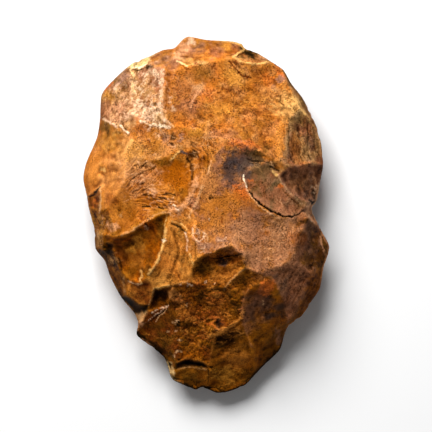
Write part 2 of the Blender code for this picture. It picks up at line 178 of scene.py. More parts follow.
# Where ridges meet on the upper face.
UPPER_RIDGES = {
    # crown scar, and the chip beside it
    "c1": (-12, 58.5, 27), "c2": (-7, 55.6, 30), "c3": (1, 57, 30), "c4": (10.5, 59.2, 27),
    "c5": (17.5, 56.9, 27),
    # cortex patch, and the foot of the wall along its right border
    "k0": (-20.5, 56.5, 26.5), "k1": (-15, 54.5, 30.5), "k2": (-15.5, 46, 34.5), "k3": (-15.5, 39, 37),
    "k4": (-13, 33, 38), "k5": (-25, 35.2, 35), "k6": (-30.5, 30.8, 31.5), "k7": (-35, 34.8, 28),
    "m1": (-13.6, 53.8, 29.4), "m2": (-13.9, 46, 32.6), "m3": (-13.7, 39, 35),
    # right border of the central scar
    "d1": (29.3, 52.6, 21.5), "d2": (33.2, 45.2, 23.2), "d3": (35.3, 40.3, 24.5), "d4": (38.6, 36.9, 21.5),
    "d5": (31.2, 35.5, 30), "d6": (29.6, 28, 34), "d7": (27.6, 20, 37.5),
    # lower border of the central scar, and the two facets on the right edge
    "f1": (-3, 31.5, 40.5), "f2": (8, 28, 41.6), "f3": (17, 24.8, 41.4), "g2": (37.5, 18.8, 28),
    "g3": (31, 18.2, 34.5), "g5": (-17.5, 20.5, 39), "g6": (-9, 23.5, 40.4), "g7": (-2.5, 25, 40.8),
    "h1": (27.2, 14.5, 37.8), "h2": (28.6, 11.5, 37.6), "h3": (32, 7.6, 35.6), "h4": (38.2, 4.6, 29.5),
    # the flake that never came away
    "l1": (14.2, 14, 42.6), "l2": (17, 17.6, 42), "l3": (22.8, 19.8, 40.2), "l4": (36.4, 1.2, 32),
    "l5": (32, -0.8, 37), "l6": (25, 0.9, 41.2), "l7": (18, 5.9, 43), "l8": (15.2, 9.8, 43),
    # right flank
    "q1": (38.5, -1.2, 31), "q2": (34.5, -8, 36.5), "q3": (33, -15.5, 36), "q4": (39.5, -21.5, 26.4),
    "q5": (27, -19.8, 38), "q6": (20, -21.2, 39.4), "q7": (25, -23.6, 37.6), "q8": (27.6, -27.5, 34),
    "q9": (29.6, -33, 29), "q10": (30.6, -39.5, 22.9), "q11": (37, -28.5, 23.9), "q12": (34.2, -35.8, 20.8),
    # the highest ridge, and the spine that climbs to it
    "p1": (15, -19.6, 40), "p2": (14.6, -16, 42.5), "p3": (10, -11.6, 44.2), "p4": (5, -12.4, 44.3),
    "p5": (0, -14.2, 43.6), "p6": (-4.5, -8.5, 43), "p7": (-3.2, -3, 43.6), "a1": (-12.2, 0.8, 40.5),
    "a2": (-6.2, 5, 42.8), "a3": (-2.8, 10, 43.2), "a4": (0.4, 15, 43.4), "a5": (2.6, 20.5, 42.6),
    # left shoulder
    "v1": (-29, 22, 35.5), "v2": (-31, 12, 36.3), "v3": (-36.5, 3, 31.5), "t2": (-39.4, 10.4, 29),
    "t3": (-38.8, 1.5, 29), "u6": (-38.3, -7.4, 28.5), "u5": (-33, -8.2, 33.5), "u4": (-27, -6, 37.5),
    "u3": (-22, -2.6, 39.5), "u2": (-18, -0.4, 40.2),
    # left flank below the shoulder
    "x1": (-15, -5, 39.8), "x2": (-15, -9.5, 38.8), "x3": (-16.6, -13, 37.4), "x4": (-19.2, -19, 34.2),
    "x5": (-21.6, -22.6, 31.7), "b1": (-34.5, -12, 26.5), "b2": (-32.6, -20, 24.5),
    "b3": (-28.5, -24.8, 25.2), "b4": (-23.8, -25.6, 28.6), "b5": (-37.8, -13.2, 24),
    "z1": (-19.2, -27.6, 29.6), "z2": (-12, -26, 34.4), "z3": (-5.5, -25, 36.9), "z4": (-4, -17, 41.5),
    "y1": (-29.5, -30.2, 20.8), "y2": (-24.5, -33.2, 21.5), "y3": (-21.2, -33.4, 23.3),
    "y4": (-22, -36.4, 21.9), "y6": (-13.5, -34.2, 26.4), "y7": (-24.2, -40.6, 19.3),
    # narrow end
    "r1": (-10.6, -39, 25.9), "r2": (-10.6, -45, 22.6), "r3": (-12.3, -51, 18.4),
    "o1": (-11.2, -55.6, 15.9), "o2": (-7, -54.4, 18), "o3": (-2.5, -55.2, 18.7), "o4": (1.2, -57, 17.7),
    "o5": (-11.8, -58.4, 13.6), "o6": (-6, -57.2, 15.6), "o7": (-1, -57.4, 16.4), "j1": (1, -63.8, 12.4),
    "i1": (8, -25, 36.7), "i2": (14.8, -30.5, 32.8), "i3": (13.2, -35, 30.2), "i4": (13.8, -38.2, 28.3),
    "i5": (7, -42.6, 26.5), "i6": (1, -45, 24.8), "i7": (2.4, -50, 22.1), "i10": (15, -45, 24.2),
    "i11": (17, -49, 21.8), "i12": (18.2, -52.5, 19), "i8": (17.5, -26.4, 35.3), "i9": (21.3, -24.3, 36.8),
}

# Each scar of the upper face: the ridge points round it, clockwise or not, and its depth. Two rim points in
# a row follow the edge. A negative depth bulges.
UPPER_SCARS = {
    "crown": ("n1 n5 c4 c3 c2 c1 w23", 1.1), "crown chip": ("n5 n7 c5 c4", 1.1),
    "shoulder": ("w21 w23 c1 c2 m1 k1 k0", 0.5), "cortex": ("w17 w21 k0 k1 k2 k3 k4 k5 k6 k7", -1.6),
    "cortex wall": ("k1 k2 k3 k4 m3 m2 m1", 0.1),
    "central": ("m1 c2 c3 c4 c5 n7 n8 d1 d2 d3 d5 d6 d7 f3 f2 f1 k4 m3 m2", 1),
    "edge strip": ("n8 e3 d4 d3 d2 d1", 0.3), "upper right facet": ("d3 d4 e3 e5 g2 g3 d7 d6 d5", 1.2),
    "lower right facet": ("g3 g2 e5 e7 h4 h3 h2 h1", 2.4), "bridge": ("l3 d7 g3 h1", 0.4),
    "clinging flake": ("l1 l2 l3 h1 h2 h3 h4 l4 l5 l6 l7 l8", 0.6), "notch": ("h4 e7 e9 q1 l4", 0.8),
    "right dark facet": ("q1 e9 e11 q4 q3 q2", 1.2),
    "purple flank": ("q6 q5 q3 q4 q11 q12 q10 q9 q8 q7", 0.9),
    "right edge chips": ("q4 e11 e15 q10 q12 q11", 0.8),
    "saddle": ("f2 f3 d7 l3 l2 l1 l8 l7 l6 l5 l4 q1 q2 q3 q5 q6 p1 p2 p3 p4 p5 p6 p7 a2 a3 a4 a5", 0.8),
    "upper band": ("k5 k4 f1 f2 a5 g7 g6 g5 v1", 0.4),
    "rippled bowl": ("v1 g5 g6 g7 a5 a4 a3 a2 a1 u2 u3 u4 u5 v3 v2", 1.3),
    "left bulge": ("w17 k7 k6 k5 v1 v2 v3 t3 t2 w13", 0.2), "edge triangle": ("w12 w13 t2 t3", 1.2),
    "left lip": ("w11 w12 t3 v3 u5 u6", 0.6), "nub": ("w10 w11 u6 b5", -0.6),
    "great left scar": ("u6 u5 u4 u3 u2 a1 x1 x2 x3 x4 x5 b4 b3 b2 b1 b5", 3),
    "left edge chips": ("w10 b5 b1 b2 b3 y1 w7", 1),
    "striated": ("a1 a2 p7 p6 p5 z4 z3 z2 z1 x5 x4 x3 x2 x1", 0.9),
    "red facet": ("b3 b4 x5 z1 y3 y2 y1", 0.9), "black band": ("y1 y2 y3 y4 w6 w7", 1),
    "cream facet": ("y4 w6 w5 y7", 0.1), "black hollow": ("z1 z2 y6 y4 y3", 3),
    "brown facet": ("y4 y6 r1 r2 r3 w2 w5 y7", 1),
    "rough front": ("z2 z3 i1 i2 i3 i4 i5 i6 i7 o4 o3 o2 o1 r3 r2 r1 y6", 1.2),
    "front hollow": ("p5 p4 p3 p2 p1 i1 z3 z4", 3.2), "tan wedge": ("p1 q6 q7 i9 i8 i2 i1", 1.2),
    "right hollow": ("q7 q8 q9 q10 i10 i4 i3 i2 i8 i9", 1.3),
    "lower right scar": ("q10 e15 s1 i12 i11 i10", 1),
    "end scar": ("i6 i5 i4 i10 i11 i12 s1 s4 j1 o4 i7", 1.8), "step": ("o1 o2 o3 o4 o7 o6 o5", 1.3),
    "end facet": ("o5 o6 o7 o4 j1 s4 s7", 0.6), "end chip": ("w2 r3 o1 o5 s7 w1", 0.6),
}

# Where ridges meet on the underside: corners of the worn flat that it rests on (t), and a rough ring outside
# it (r).
UNDERSIDE_RIDGES = {
    "t1": (-20, 9, 0), "t2": (-11, 20, 0), "t3": (8, 22, 0), "t4": (20, 10, 0), "t5": (18, -7, 0),
    "t6": (4, -20, 0), "t7": (-13, -13, 0), "r1": (-29, 30, 8.9), "r2": (-12, 42, 7.2), "r3": (9, 48, 9.8),
    "r4": (25, 37, 8.4), "r5": (34, 7, 8.4), "r6": (31, -12, 6.5), "r7": (27, -23, 6.8), "r8": (16, -41, 6),
    "r9": (1, -42, 5), "r10": (-16, -38, 6.2), "r11": (-32, -12, 9.2), "r12": (-33, 13, 7.6),
    "r13": (-3, 35, 3.6), "r14": (26, 24, 4.9), "r15": (-22, -26, 5.4), "r16": (24, -31, 6.4),
}

# Each scar of the underside, in the same way.
UNDERSIDE_SCARS = {
    "resting flat": ("t1 t2 t3 t4 t5 t6 t7", 0), "north-west": ("w18 n1 r2 r13 t2 t1 r1", 2.4),
    "north": ("n1 n5 r3 r2", 1.4), "inner north": ("t2 r13 r2 r3 r4 r14 t3", 1.1),
    "north-east": ("n5 e1 r4 r3", 1.6), "east": ("e1 e6 r5 t4 t3 r14 r4", 2.1),
    "under the notch": ("e6 e10 r6 r5", 1.1), "inner south-east": ("t4 r5 r6 r7 t5", 0.9),
    "south-east": ("e10 e13 r16 r7 r6", 1.4), "flank": ("e13 e15 r8 r16", 1.1),
    "south": ("t5 r7 r16 r8 r9 t6", 1.2), "end": ("e15 s2 r9 r8", 1.2), "narrow end": ("s2 w4 r10 r9", 1),
    "inner south-west": ("t6 r9 r10 r15", 0.6), "south-west": ("w4 w11 r11 t7 t6 r15 r10", 2.2),
    "inner west": ("t7 r11 r12 r1 t1", 0.9), "west": ("w11 w14 r12 r11", 1.2),
    "shoulder edge": ("w14 w18 r1 r12", 1.4),
}


# ---------------------------------------------------------------- noise

# Every pattern is given a size in millimetres and then a seed of its own. The gain brings noise to -1 to 1.
NOISE_GAIN = 1.7


def corner_gradients(cells, seed):
    """A repeatable unit-sized gradient for each whole-number cell corner, by mixing its bits."""
    x, y, z = (cells[..., axis].astype(np.uint32) for axis in range(3))
    mixed = x * np.uint32(374761393) + y * np.uint32(668265263) + z * np.uint32(2246822519)
    mixed = (mixed + np.uint32(seed * 3266489917 % 2**32)) & np.uint32(0xFFFFFFFF)
    mixed = (mixed ^ (mixed >> np.uint32(13))) * np.uint32(1274126177)
    mixed = mixed ^ (mixed >> np.uint32(16))
    turn = (mixed & np.uint32(1023)).astype(float) / 1023 * 2 * np.pi
    lift = ((mixed >> np.uint32(10)) & np.uint32(1023)).astype(float) / 1023 * 2 - 1
    level = np.sqrt(1 - lift**2)
    return level * np.cos(turn), level * np.sin(turn), lift


def noise(points, size, seed):
    """Smooth gradient noise of about -1 to 1, with features of the given size."""
    scaled = points / size
    cell = np.floor(scaled).astype(np.int64)
    inner = scaled - cell
    fade = inner**3 * (inner * (inner * 6 - 15) + 10)
    total = np.zeros(len(points))
    for corner in np.ndindex(2, 2, 2):
        corner = np.array(corner)
        across, along, up = corner_gradients(cell + corner, seed)
        offset = inner - corner
        share = np.where(corner == 1, fade, 1 - fade).prod(axis=1)
        total += share * (across * offset[:, 0] + along * offset[:, 1] + up * offset[:, 2])
    return total * NOISE_GAIN


def fractal(points, size, seed, octaves=3, keep=0.5):
    """Noise at several sizes, each half the last and weaker."""
    total = np.zeros(len(points))
    strength = 1.0
    for octave in range(octaves):
        total += strength * noise(points, size / 2**octave, seed + octave)
        strength *= keep
    return total


def in_patch(points, middle, stretch, heading):
    """Points in a patch's own frame, in stretched millimetres, with their height kept."""
    return np.column_stack([turned(points, middle, stretch, heading), points[:, 2] / stretch[1]])


def flat(points):
    """Plan points as points in space, at height 0."""
    return np.column_stack([points[:, :2], np.zeros(len(points))])


def strayed(level, reach, size, seed):
    """Level points moved about by noise, so that what is drawn at them has an uneven shape."""
    across = fractal(level, size, seed, 3, 0.6)
    along = fractal(level, size, seed + 50, 3, 0.6)
    return level + reach * np.column_stack([across, along, np.zeros(len(level))])


def ease(values, low, high):
    """0 below low, 1 above high, and smooth between."""
    share = np.clip((values - low) / (high - low), 0, 1)
    return share * share * (3 - 2 * share)


# ---------------------------------------------------------------- form


def rim_outline():
    """The edge in plan, smooth through every rim point, and the place of each rim point in it."""
    points = np.array(list(RIM.values()))
    ahead = np.roll(points, -1, axis=0)
    reach = np.linalg.norm(ahead - points, axis=1)[:, None] * RIM_FULLNESS
    heading = ahead - np.roll(points, 1, axis=0)
    heading /= np.linalg.norm(heading, axis=1)[:, None]
    heading_on = np.roll(heading, -1, axis=0)
    share = np.arange(RIM_STEPS) / RIM_STEPS
    outline = []
    for here, there, length, leave, arrive in zip(points, ahead, reach, heading, heading_on):
        for t in share:
            outline.append(
                (2 * t**3 - 3 * t**2 + 1) * here
                + (t**3 - 2 * t**2 + t) * length * leave
                + (3 * t**2 - 2 * t**3) * there
                + (t**3 - t**2) * length * arrive
            )
    places = {name: order * RIM_STEPS for order, name in enumerate(RIM)}
    return np.array(outline), places


def rim_heights(outline):
    """The height of the edge at each point of the outline."""
    turn = 2 * np.pi * np.arange(len(outline)) / len(outline)
    heights = RIM_MEAN_HEIGHT + RIM_RISE_ACROSS * outline[:, 0] + RIM_RISE_ALONG * outline[:, 1]
    for waves, swing, start in RIM_WAVES:
        heights += swing * np.sin(waves * turn + start)
    for middle, reach, lift in RIM_LIFTS:
        away = np.linalg.norm(outline - middle, axis=1)
        heights += lift * np.exp(-((away / reach) ** 2))
    return heights


def run_share(level, middle, reach):
    """How much of a run of the edge each point is in, from 0 to 1."""
    return 1 - ease(np.linalg.norm(level[:, :2] - middle, axis=1) / reach, *RUN_FADE)


def chipped(rim):
    """The edge with small chips broken from it, and wandering a little in height."""
    level = flat(rim)
    ahead = np.roll(rim, -1, axis=0) - np.roll(rim, 1, axis=0)
    inward = np.column_stack([ahead[:, 1], -ahead[:, 0]]) / np.linalg.norm(ahead[:, :2], axis=1)[:, None]
    runs = np.zeros(len(level))
    for middle, reach in EDGE_CHIPPED_RUNS:
        runs = np.maximum(runs, run_share(level, middle, reach))
    chips = ease(noise(level, 2.4, 301) + 0.6 * noise(level, 5.5, 304), 0.0, 0.8)
    depth = EDGE_CHIP_DEPTH * chips * runs + EDGE_ROUGHNESS * noise(level, 0.9, 303)
    moved = rim.copy()
    moved[:, :2] += depth[:, None] * inward
    for order, (size, height) in enumerate(EDGE_HEIGHT_WANDER):
        moved[:, 2] += height * noise(level, size, 311 + order)
    return moved


def rim_run(start, end, count):
    """The outline places from start up to but not including end, the shorter way round."""
    forward = (end - start) % count
    if forward < count / 2:
        return [(start + step) % count for step in range(forward)]
    return [(start - step) % count for step in range(count - forward)]


def scar_border(names, ridges, rim, places):
    """A scar's border as an array of ridge and rim points."""
    corners = names.split()
    border = []
    for here, there in zip(corners, corners[1:] + corners[:1]):
        if here in places and there in places:
            border.extend(rim[place] for place in rim_run(places[here], places[there], len(rim)))
        elif here in places:
            border.append(rim[places[here]])
        else:
            border.append(ridges[here])
    return np.array(border, float)


def is_inside(points, border):
    """True for each plan point inside the border."""
    start = border[:, :2]
    end = np.roll(start, -1, axis=0)
    low, high = start.min(axis=0), start.max(axis=0)
    near = ((points[:, :2] >= low) & (points[:, :2] <= high)).all(axis=1)
    across, along = points[near, :1], points[near, 1:2]
    straddles = (start[:, 1] > along) != (end[:, 1] > along)
    rise = np.where(straddles, end[:, 1] - start[:, 1], 1.0)
    crossing = start[:, 0] + (along - start[:, 1]) / rise * (end[:, 0] - start[:, 0])
    found = np.zeros(len(points), bool)
    found[near] = (straddles & (across < crossing)).sum(axis=1) % 2 == 1
    return found


def spanned_height(points, border):
    """The border's heights carried across it smoothly, by mean value coordinates."""
    spoke = border[None, :, :2] - points[:, None]
    reach = np.linalg.norm(spoke, axis=2) + 1e-9
    next_spoke = np.roll(spoke, -1, axis=1)
    next_reach = np.roll(reach, -1, axis=1)
    cross = spoke[..., 0] * next_spoke[..., 1] - spoke[..., 1] * next_spoke[..., 0]
    dot = (spoke * next_spoke).sum(axis=2)
    half_angle = cross / np.maximum(reach * next_reach + dot, 1e-9)
    weight = (half_angle + np.roll(half_angle, 1, axis=1)) / reach
    return (weight * border[:, 2]).sum(axis=1) / weight.sum(axis=1)


def way_in(points, border):
    """How far each point lies from the border, smoothly, as a share of the scar's half width and up to 1."""
    start = border[:, :2]
    edge = np.roll(start, -1, axis=0) - start
    length = np.linalg.norm(edge, axis=1)
    edge = edge / length[:, None]
    offset = points[:, None] - start[None]
    before = -(offset * edge).sum(axis=2)
    after = before + length
    aside = np.maximum((offset[..., 0] * edge[:, 1] - offset[..., 1] * edge[:, 0]) ** 2, 1e-6)
    pull = (after / np.sqrt(aside + after**2) - before / np.sqrt(aside + before**2)) / aside
    distance = np.sqrt(2 / pull.sum(axis=1))
    doubled_area = (start[:, 0] * np.roll(start[:, 1], -1) - start[:, 1] * np.roll(start[:, 0], -1)).sum()
    half_width = abs(doubled_area) / 2 / length.sum()
    return np.minimum(distance / (HOLLOW_REACH * half_width), 1)


def distance_to(points, line, closed=False):
    """The distance in plan from each point to a line of straight runs."""
    line = np.array(line, float)[:, :2]
    start = line if closed else line[:-1]
    run = (np.roll(line, -1, axis=0) if closed else line[1:]) - start
    nearest = np.full(len(points), np.inf)
    for first, step in zip(start, run):
        offset = points[:, :2] - first
        share = np.clip((offset @ step) / (step @ step), 0, 1)
        nearest = np.minimum(nearest, np.linalg.norm(offset - share[:, None] * step, axis=1))
    return nearest


def wobble(points, inset):
    """Moves plan points a little, so that ridges wander as real ones do. It fades out at the rim."""
    level = flat(points)
    calm = ease(inset, 0.5, 5.0)[:, None]
    moved = np.zeros((len(points), 2))
    for size, reach, octaves, seed in RIDGE_WANDER:
        across = fractal(level, size, seed, octaves)
        along = fractal(level, size, seed + 10, octaves)
        moved += reach * np.column_stack([across, along])
    return points[:, :2] + calm * moved


def scar_at(points, borders, fallback):
    """The scar that each plan point lies in, or the fallback where it lies in none."""
    found = fallback.copy()
    for order, border in enumerate(borders):
        found[is_inside(points, border)] = order
    return found


def face_form(points, inset, borders, rises):
    """Height, scar number and share of the way in, at each plan point of one face."""
    moved = wobble(points, inset)
    heights = np.full(len(points), np.nan)
    scar_of = np.full(len(points), -1)
    share_of = np.zeros(len(points))
    for order, (border, rise) in enumerate(zip(borders, rises)):
        here = is_inside(moved, border)
        if not here.any():
            continue
        share = way_in(moved[here], border)
        heights[here] = spanned_height(moved[here], border) + rise * share * (2 - share)
        scar_of[here] = order
        share_of[here] = share
    return heights, scar_of, share_of


# ---------------------------------------------------------------- relief

# Scars with ripples round the point that the blow struck: that point, the ripples' spacing and their height.
RIPPLES = {
    "crown": ((8, 70), 3.4, 0.08), "crown chip": ((17, 63), 1.6, 0.1), "central": ((4, 74), 8, 0.14),
    "upper right facet": ((49, 26), 2.3, 0.08), "lower right facet": ((47, 10), 4.2, 0.1),
    "left bulge": ((-50, 12), 7, 0.12), "great left scar": ((-38, -18), 4.6, 0.18),
    "striated": ((-31, -12), 3, 0.18), "right dark facet": ((48, -14), 4, 0.12),
    "purple flank": ((45, -31), 2.6, 0.12), "front hollow": ((8, -9), 3.2, 0.14),
    "right hollow": ((32, -36), 3.4, 0.14), "end scar": ((8, -70), 5, 0.22),
    "lower right scar": ((30, -56), 3.6, 0.16), "brown facet": ((-27, -44), 3.4, 0.14),
    "end facet": ((-6, -67), 3, 0.12), "north-west": ((-34, 60), 4.2, 0.16), "north": ((4, 76), 3.8, 0.14),
    "north-east": ((32, 64), 3.4, 0.12), "east": ((52, 34), 4.4, 0.18),
    "south-east": ((54, -24), 3.2, 0.12), "flank": ((40, -48), 3.8, 0.16), "end": ((16, -76), 3.2, 0.14),
    "south-west": ((-44, -36), 4.8, 0.18), "west": ((-56, 8), 3.2, 0.12),
    "shoulder edge": ((-54, 34), 4, 0.14), "inner north": ((10, 66), 5, 0.12),
    "inner south-east": ((48, -12), 4.6, 0.12), "south": ((30, -44), 4, 0.14),
}

# Patches of wrinkles: middle, half sizes, heading in degrees, spacing and height.
WRINKLES = (
    ((-24, 14), (7, 7.5), 40, 1.15, 0.42), ((-19.5, 6), (9.5, 4.8), -10, 1.25, 0.42),
    ((-13, 3.5), (5, 3.2), -30, 1.3, 0.42), ((-1.5, 24), (4.5, 5), -45, 1.7, 0.22),
)

# Patches of streaks: middle, half sizes, the streaks' heading in degrees, their spacing and strength.
STREAKS = (
    ((37, 27), (7, 11), 88, 1.3, 0.42), ((-9.5, -14), (7, 12), 82, 1.3, 0.4),
    ((36, -30), (9, 13), 68, 1.3, 0.35), ((0, 61.5), (12, 3.5), -12, 1.3, 0.25),
    ((-8, 3.5), (9, 5), -35, 1.1, 0.5), ((0.5, 20), (4.5, 8), -62, 1.2, 0.4),
    ((2, -36), (12, 11), -52, 2.2, 0.2), ((-32, 38), (7, 6), -42, 1.2, 0.45),
    ((34, 4.5), (6, 2.5), -42, 0.9, 0.4), ((-22, -12), (8, 8), 35, 2.2, 0.22),
    ((-40, -5), (3, 7), 80, 1.2, 0.4), ((22, 22.5), (5, 4), -25, 1.1, 0.35),
    ((-31, -25), (4, 8), -60, 1.4, 0.35), ((10, -52), (8, 9), 70, 2, 0.18),
    ((22, -38), (7, 8), 75, 1.6, 0.25), ((28, 44), (5, 8), -50, 1.2, 0.3),
)

# Dents, and bumps where the depth is negative: middle, half sizes, heading in degrees and depth.
DENTS = (
    ((-11.5, 15.5), (6.8, 5.6), 15, 0.9), ((-5.2, 21.8), (3, 1.6), 65, 0.8),
    ((-1.8, 17.5), (1.7, 5.2), -18, 0.8), ((-22, -3.2), (0.8, 0.7), 0, 0.9),
    ((-32, 1.8), (0.9, 0.7), 0, 0.35), ((-12.4, 26.4), (0.9, 0.8), 0, 0.4),
    ((-15.3, 28.8), (1.6, 1.8), 0, 0.6), ((11.5, 17.5), (5.5, 7), -20, 0.7),
    ((-36.6, -11.8), (2.6, 1.7), 0, 1.5), ((-28.5, -10.6), (3, 1.9), 30, 0.9),
    ((7, -16.5), (6.5, 2.4), 8, 1.4), ((-16.5, -30.5), (3.4, 2.8), 20, 1), ((30, 4), (1.3, 2), 25, 0.3),
    ((-4.8, -56.2), (5.4, 1), -7, 0.4), ((8.4, -47.6), (6.2, 4), 20, 1.4), ((12, 56), (2.6, 0.9), -40, 0.5),
    ((17, 60.5), (2.6, 1.6), -25, 0.5), ((4.8, -41), (1.4, 2.4), 20, 0.55), ((-6, -42), (2.6, 2), 0, 0.8),
)

# Where ridges are worn round: middle, half sizes and heading in degrees.
WORN = (
    ((34, -12), (5, 10), 0), ((27, -24), (9, 4.5), -20), ((29, -33), (5, 8), 0), ((14, -38), (4, 10), 0),
    ((1.5, -51), (3, 7), 0), ((-11, -46), (2.5, 7), 0), ((22, -42), (9, 4), 20), ((3, -24.5), (8, 2.6), 0),
    ((14, -45), (4, 5), 0), ((-2, 12), (4, 12), -20), ((29.5, 28), (2.5, 9), 0), ((-20, 30), (14, 4), -10),
)

# How rough each scar's surface is and how many pits it has, where these aren't 1.
ROUGHNESS = {
    "cortex": (1.2, 1), "rough front": (1.6, 1.5), "saddle": (1.2, 1.5), "central": (1.1, 1.5),
    "tan wedge": (1.3, 1.3), "end scar": (1.3, 1.2), "left bulge": (0.5, 0.4),
    "lower right facet": (0.9, 1.6), "great left scar": (0.7, 0.5), "black band": (0.4, 0.3),
    "shoulder": (0.5, 0.2), "crown": (0.5, 0.3), "clinging flake": (0.7, 1.1), "right hollow": (0.9, 1.1),
    "red facet": (1, 1.2), "end facet": (1, 1.2), "upper right facet": (1, 1.9), "upper band": (1, 1.6),
    "front hollow": (1.6, 1.3), "striated": (0.8, 0.9), "purple flank": (1, 1.5), "brown facet": (1, 1.7),
    "left lip": (0.9, 1.6), "right edge chips": (1, 1.5), "right dark facet": (1, 1.3),
}

# How lumpy a crust each scar's surface has, where it has any.
CRUSTED = {
    "cortex": 0.35, "rough front": 1.1, "tan wedge": 0.8, "front hollow": 0.7, "upper band": 0.2,
    "left lip": 0.35, "nub": 0.6,
}

# Grain of every surface: feature size and height.
GRAIN_SIZES = ((7.0, 0.22), (2.4, 0.10), (0.95, 0.06))


def turned(points, middle, half_sizes, heading):
    """Plan points in a patch's own frame, as shares of its half sizes."""
    angle = np.radians(heading)
    offset = points[:, :2] - middle
    along = offset @ (np.cos(angle), np.sin(angle))
    across = offset @ (-np.sin(angle), np.cos(angle))
    return np.column_stack([along, across]) / half_sizes


def away_from(points, middle, half_sizes, heading):
    """How far plan points lie from a patch's middle, as a share of the way to its edge."""
    return np.linalg.norm(turned(points, middle, half_sizes, heading), axis=1)


def ripple_relief(level, scar_names, scar_of, share_of):
    """Rings round the strike points, strongest in the middle of each scar."""
    relief = np.zeros(len(level))
    bend = fractal(level, 8.0, 51)
    for name, (strike, spacing, height) in RIPPLES.items():
        if name not in scar_names:
            continue
        here = scar_of == scar_names.index(name)
        reach = np.linalg.norm(level[here, :2] - strike, axis=1)
        phase = 2 * np.pi * (reach / spacing + 0.35 * bend[here])
        rings = np.sin(phase) + 0.35 * np.sin(2 * phase + 1.0)
        patchy = 0.6 + 0.4 * noise(level[here], 6.0, 61)
        relief[here] += height * rings * patchy * ease(share_of[here], 0.05, 0.5)
    return relief


def wrinkle_relief(level):
    """Short folds side by side, broken up and staggered."""
    relief = np.zeros(len(level))
    for order, (middle, half_sizes, heading, spacing, height) in enumerate(WRINKLES):
        fade = 1 - ease(away_from(level, middle, half_sizes, heading), *PATCH_FADE)
        here = fade > 0
        stretched = flat(turned(level[here], middle, (2.0 * spacing, spacing), heading))
        phase = 2 * np.pi * (stretched[:, 1] + 1.2 * noise(stretched, 1.9, 71 + order))
        broken = ease(noise(stretched, 1.0, 81 + order), -0.3, 0.3)
        relief[here] += height * fade[here] * broken * np.sin(phase)
    return relief


def streaks(level):
    """Fine uneven lines side by side, above 0 along each crest and below 0 between crests."""
    total = np.zeros(len(level))
    for order, (middle, half_sizes, heading, spacing, strength) in enumerate(STREAKS):
        fade = 1 - ease(away_from(level, middle, half_sizes, 0), *PATCH_FADE)
        here = fade > 0
        bent = level[here] + 0.8 * noise(level[here], 5.0, 251)[:, None]
        stretched = in_patch(bent, middle, (4.5 * spacing, spacing), heading)
        lines = noise(stretched, 1.0, 261 + order) + 0.4 * noise(stretched, 0.5, 281 + order)
        total[here] += strength * fade[here] * lines
    return total


def dent_relief(level):
    """Round-bottomed dents, and round bumps."""
    relief = np.zeros(len(level))
    for middle, half_sizes, heading, depth in DENTS:
        away = away_from(level, middle, half_sizes, heading)
        relief -= depth * np.clip(1 - away**2, 0, 1)
    return relief


def mark_reach(level, line, half_width, ragged):
    """How much of a fine line lies at each point, from 0 to 1, with an uneven width."""
    line = np.array(line, float)
    low, high = line.min(axis=0) - 3 * half_width, line.max(axis=0) + 3 * half_width
    near = ((level[:, :2] > low) & (level[:, :2] < high)).all(axis=1)
    reach = np.zeros(len(level))
    away = distance_to(level[near], line) / half_width
    reach[near] = 1 - ease(1.25 * away + 0.5 * ragged[near], 0.4, 1.5)
    return reach


def crust_relief(level, amount):
    """A rough and lumpy skin, higher where amount is higher."""
    lumps = fractal(strayed(level, 1.0, 3.0, 97), 3.6, 91, 4, 0.65)
    return amount * (0.42 * lumps + 0.14 * noise(level, 0.9, 95))


def grain_relief(level, roughness, seed):
    """The grain of the stone, higher where it is rough."""
    relief = np.zeros(len(level))
    for order, (size, height) in enumerate(GRAIN_SIZES):
        relief += roughness * height * noise(level, size, seed + order)
    return relief


def wear_share(level):
    """How worn the ridges are at each point, from 0 to 1."""
    wear = np.zeros(len(level))
    for middle, half_sizes, heading in WORN:
        away = away_from(level, middle, half_sizes, heading)
        wear = np.maximum(wear, 1 - ease(away + 0.3 * noise(level, 4.0, 241), 0.5, 1.2))
    return wear


def lace(points, size):
    """Thin wriggling lines, 1 along each and 0 away from them, in uneven clusters."""
    clustered = ease(noise(points, 1.8 * size, 214), -0.5, 0.4)
    wriggle = noise(points, size, 211) + 0.4 * noise(points, 0.43 * size, 212)
    return clustered * (1 - ease(np.abs(wriggle), 0.0, 0.45 / size))


def pits(points, amount):
    """Small pits, from 0 to 1, more of them where amount is higher."""
    limit = 0.72 - 0.16 * amount
    return ease(noise(points, 1.0, 141) + 0.45 * noise(points, 4.0, 142), limit, limit + 0.28)


# ---------------------------------------------------------------- colour

# Colours as red, green and blue, from 0 to 255.
PALETTE = {
    "orange": (174, 102, 34), "bright orange": (200, 122, 48), "yellow orange": (204, 134, 52),
    "deep orange": (158, 82, 6), "red orange": (192, 96, 34), "amber": (184, 116, 58),
    "ochre": (174, 112, 36), "orange brown": (138, 76, 12), "red brown": (112, 52, 12),
    "brown": (98, 55, 10), "dark brown": (62, 34, 6), "black brown": (24, 14, 3),
    "olive brown": (96, 66, 18), "olive dark": (56, 38, 8), "pink tan": (190, 130, 86),
    "pink brown": (150, 94, 60), "pale pink": (212, 158, 116), "pale tan": (206, 154, 104),
    "pale yellow": (220, 166, 92), "tan": (172, 120, 68), "mauve": (140, 98, 76),
    "purple brown": (102, 64, 44), "dusk": (62, 40, 28), "smoke": (58, 50, 50),
    "smoky brown": (108, 78, 46), "cream": (232, 192, 128), "pinkish white": (214, 170, 132),
    "white": (232, 200, 162),
}

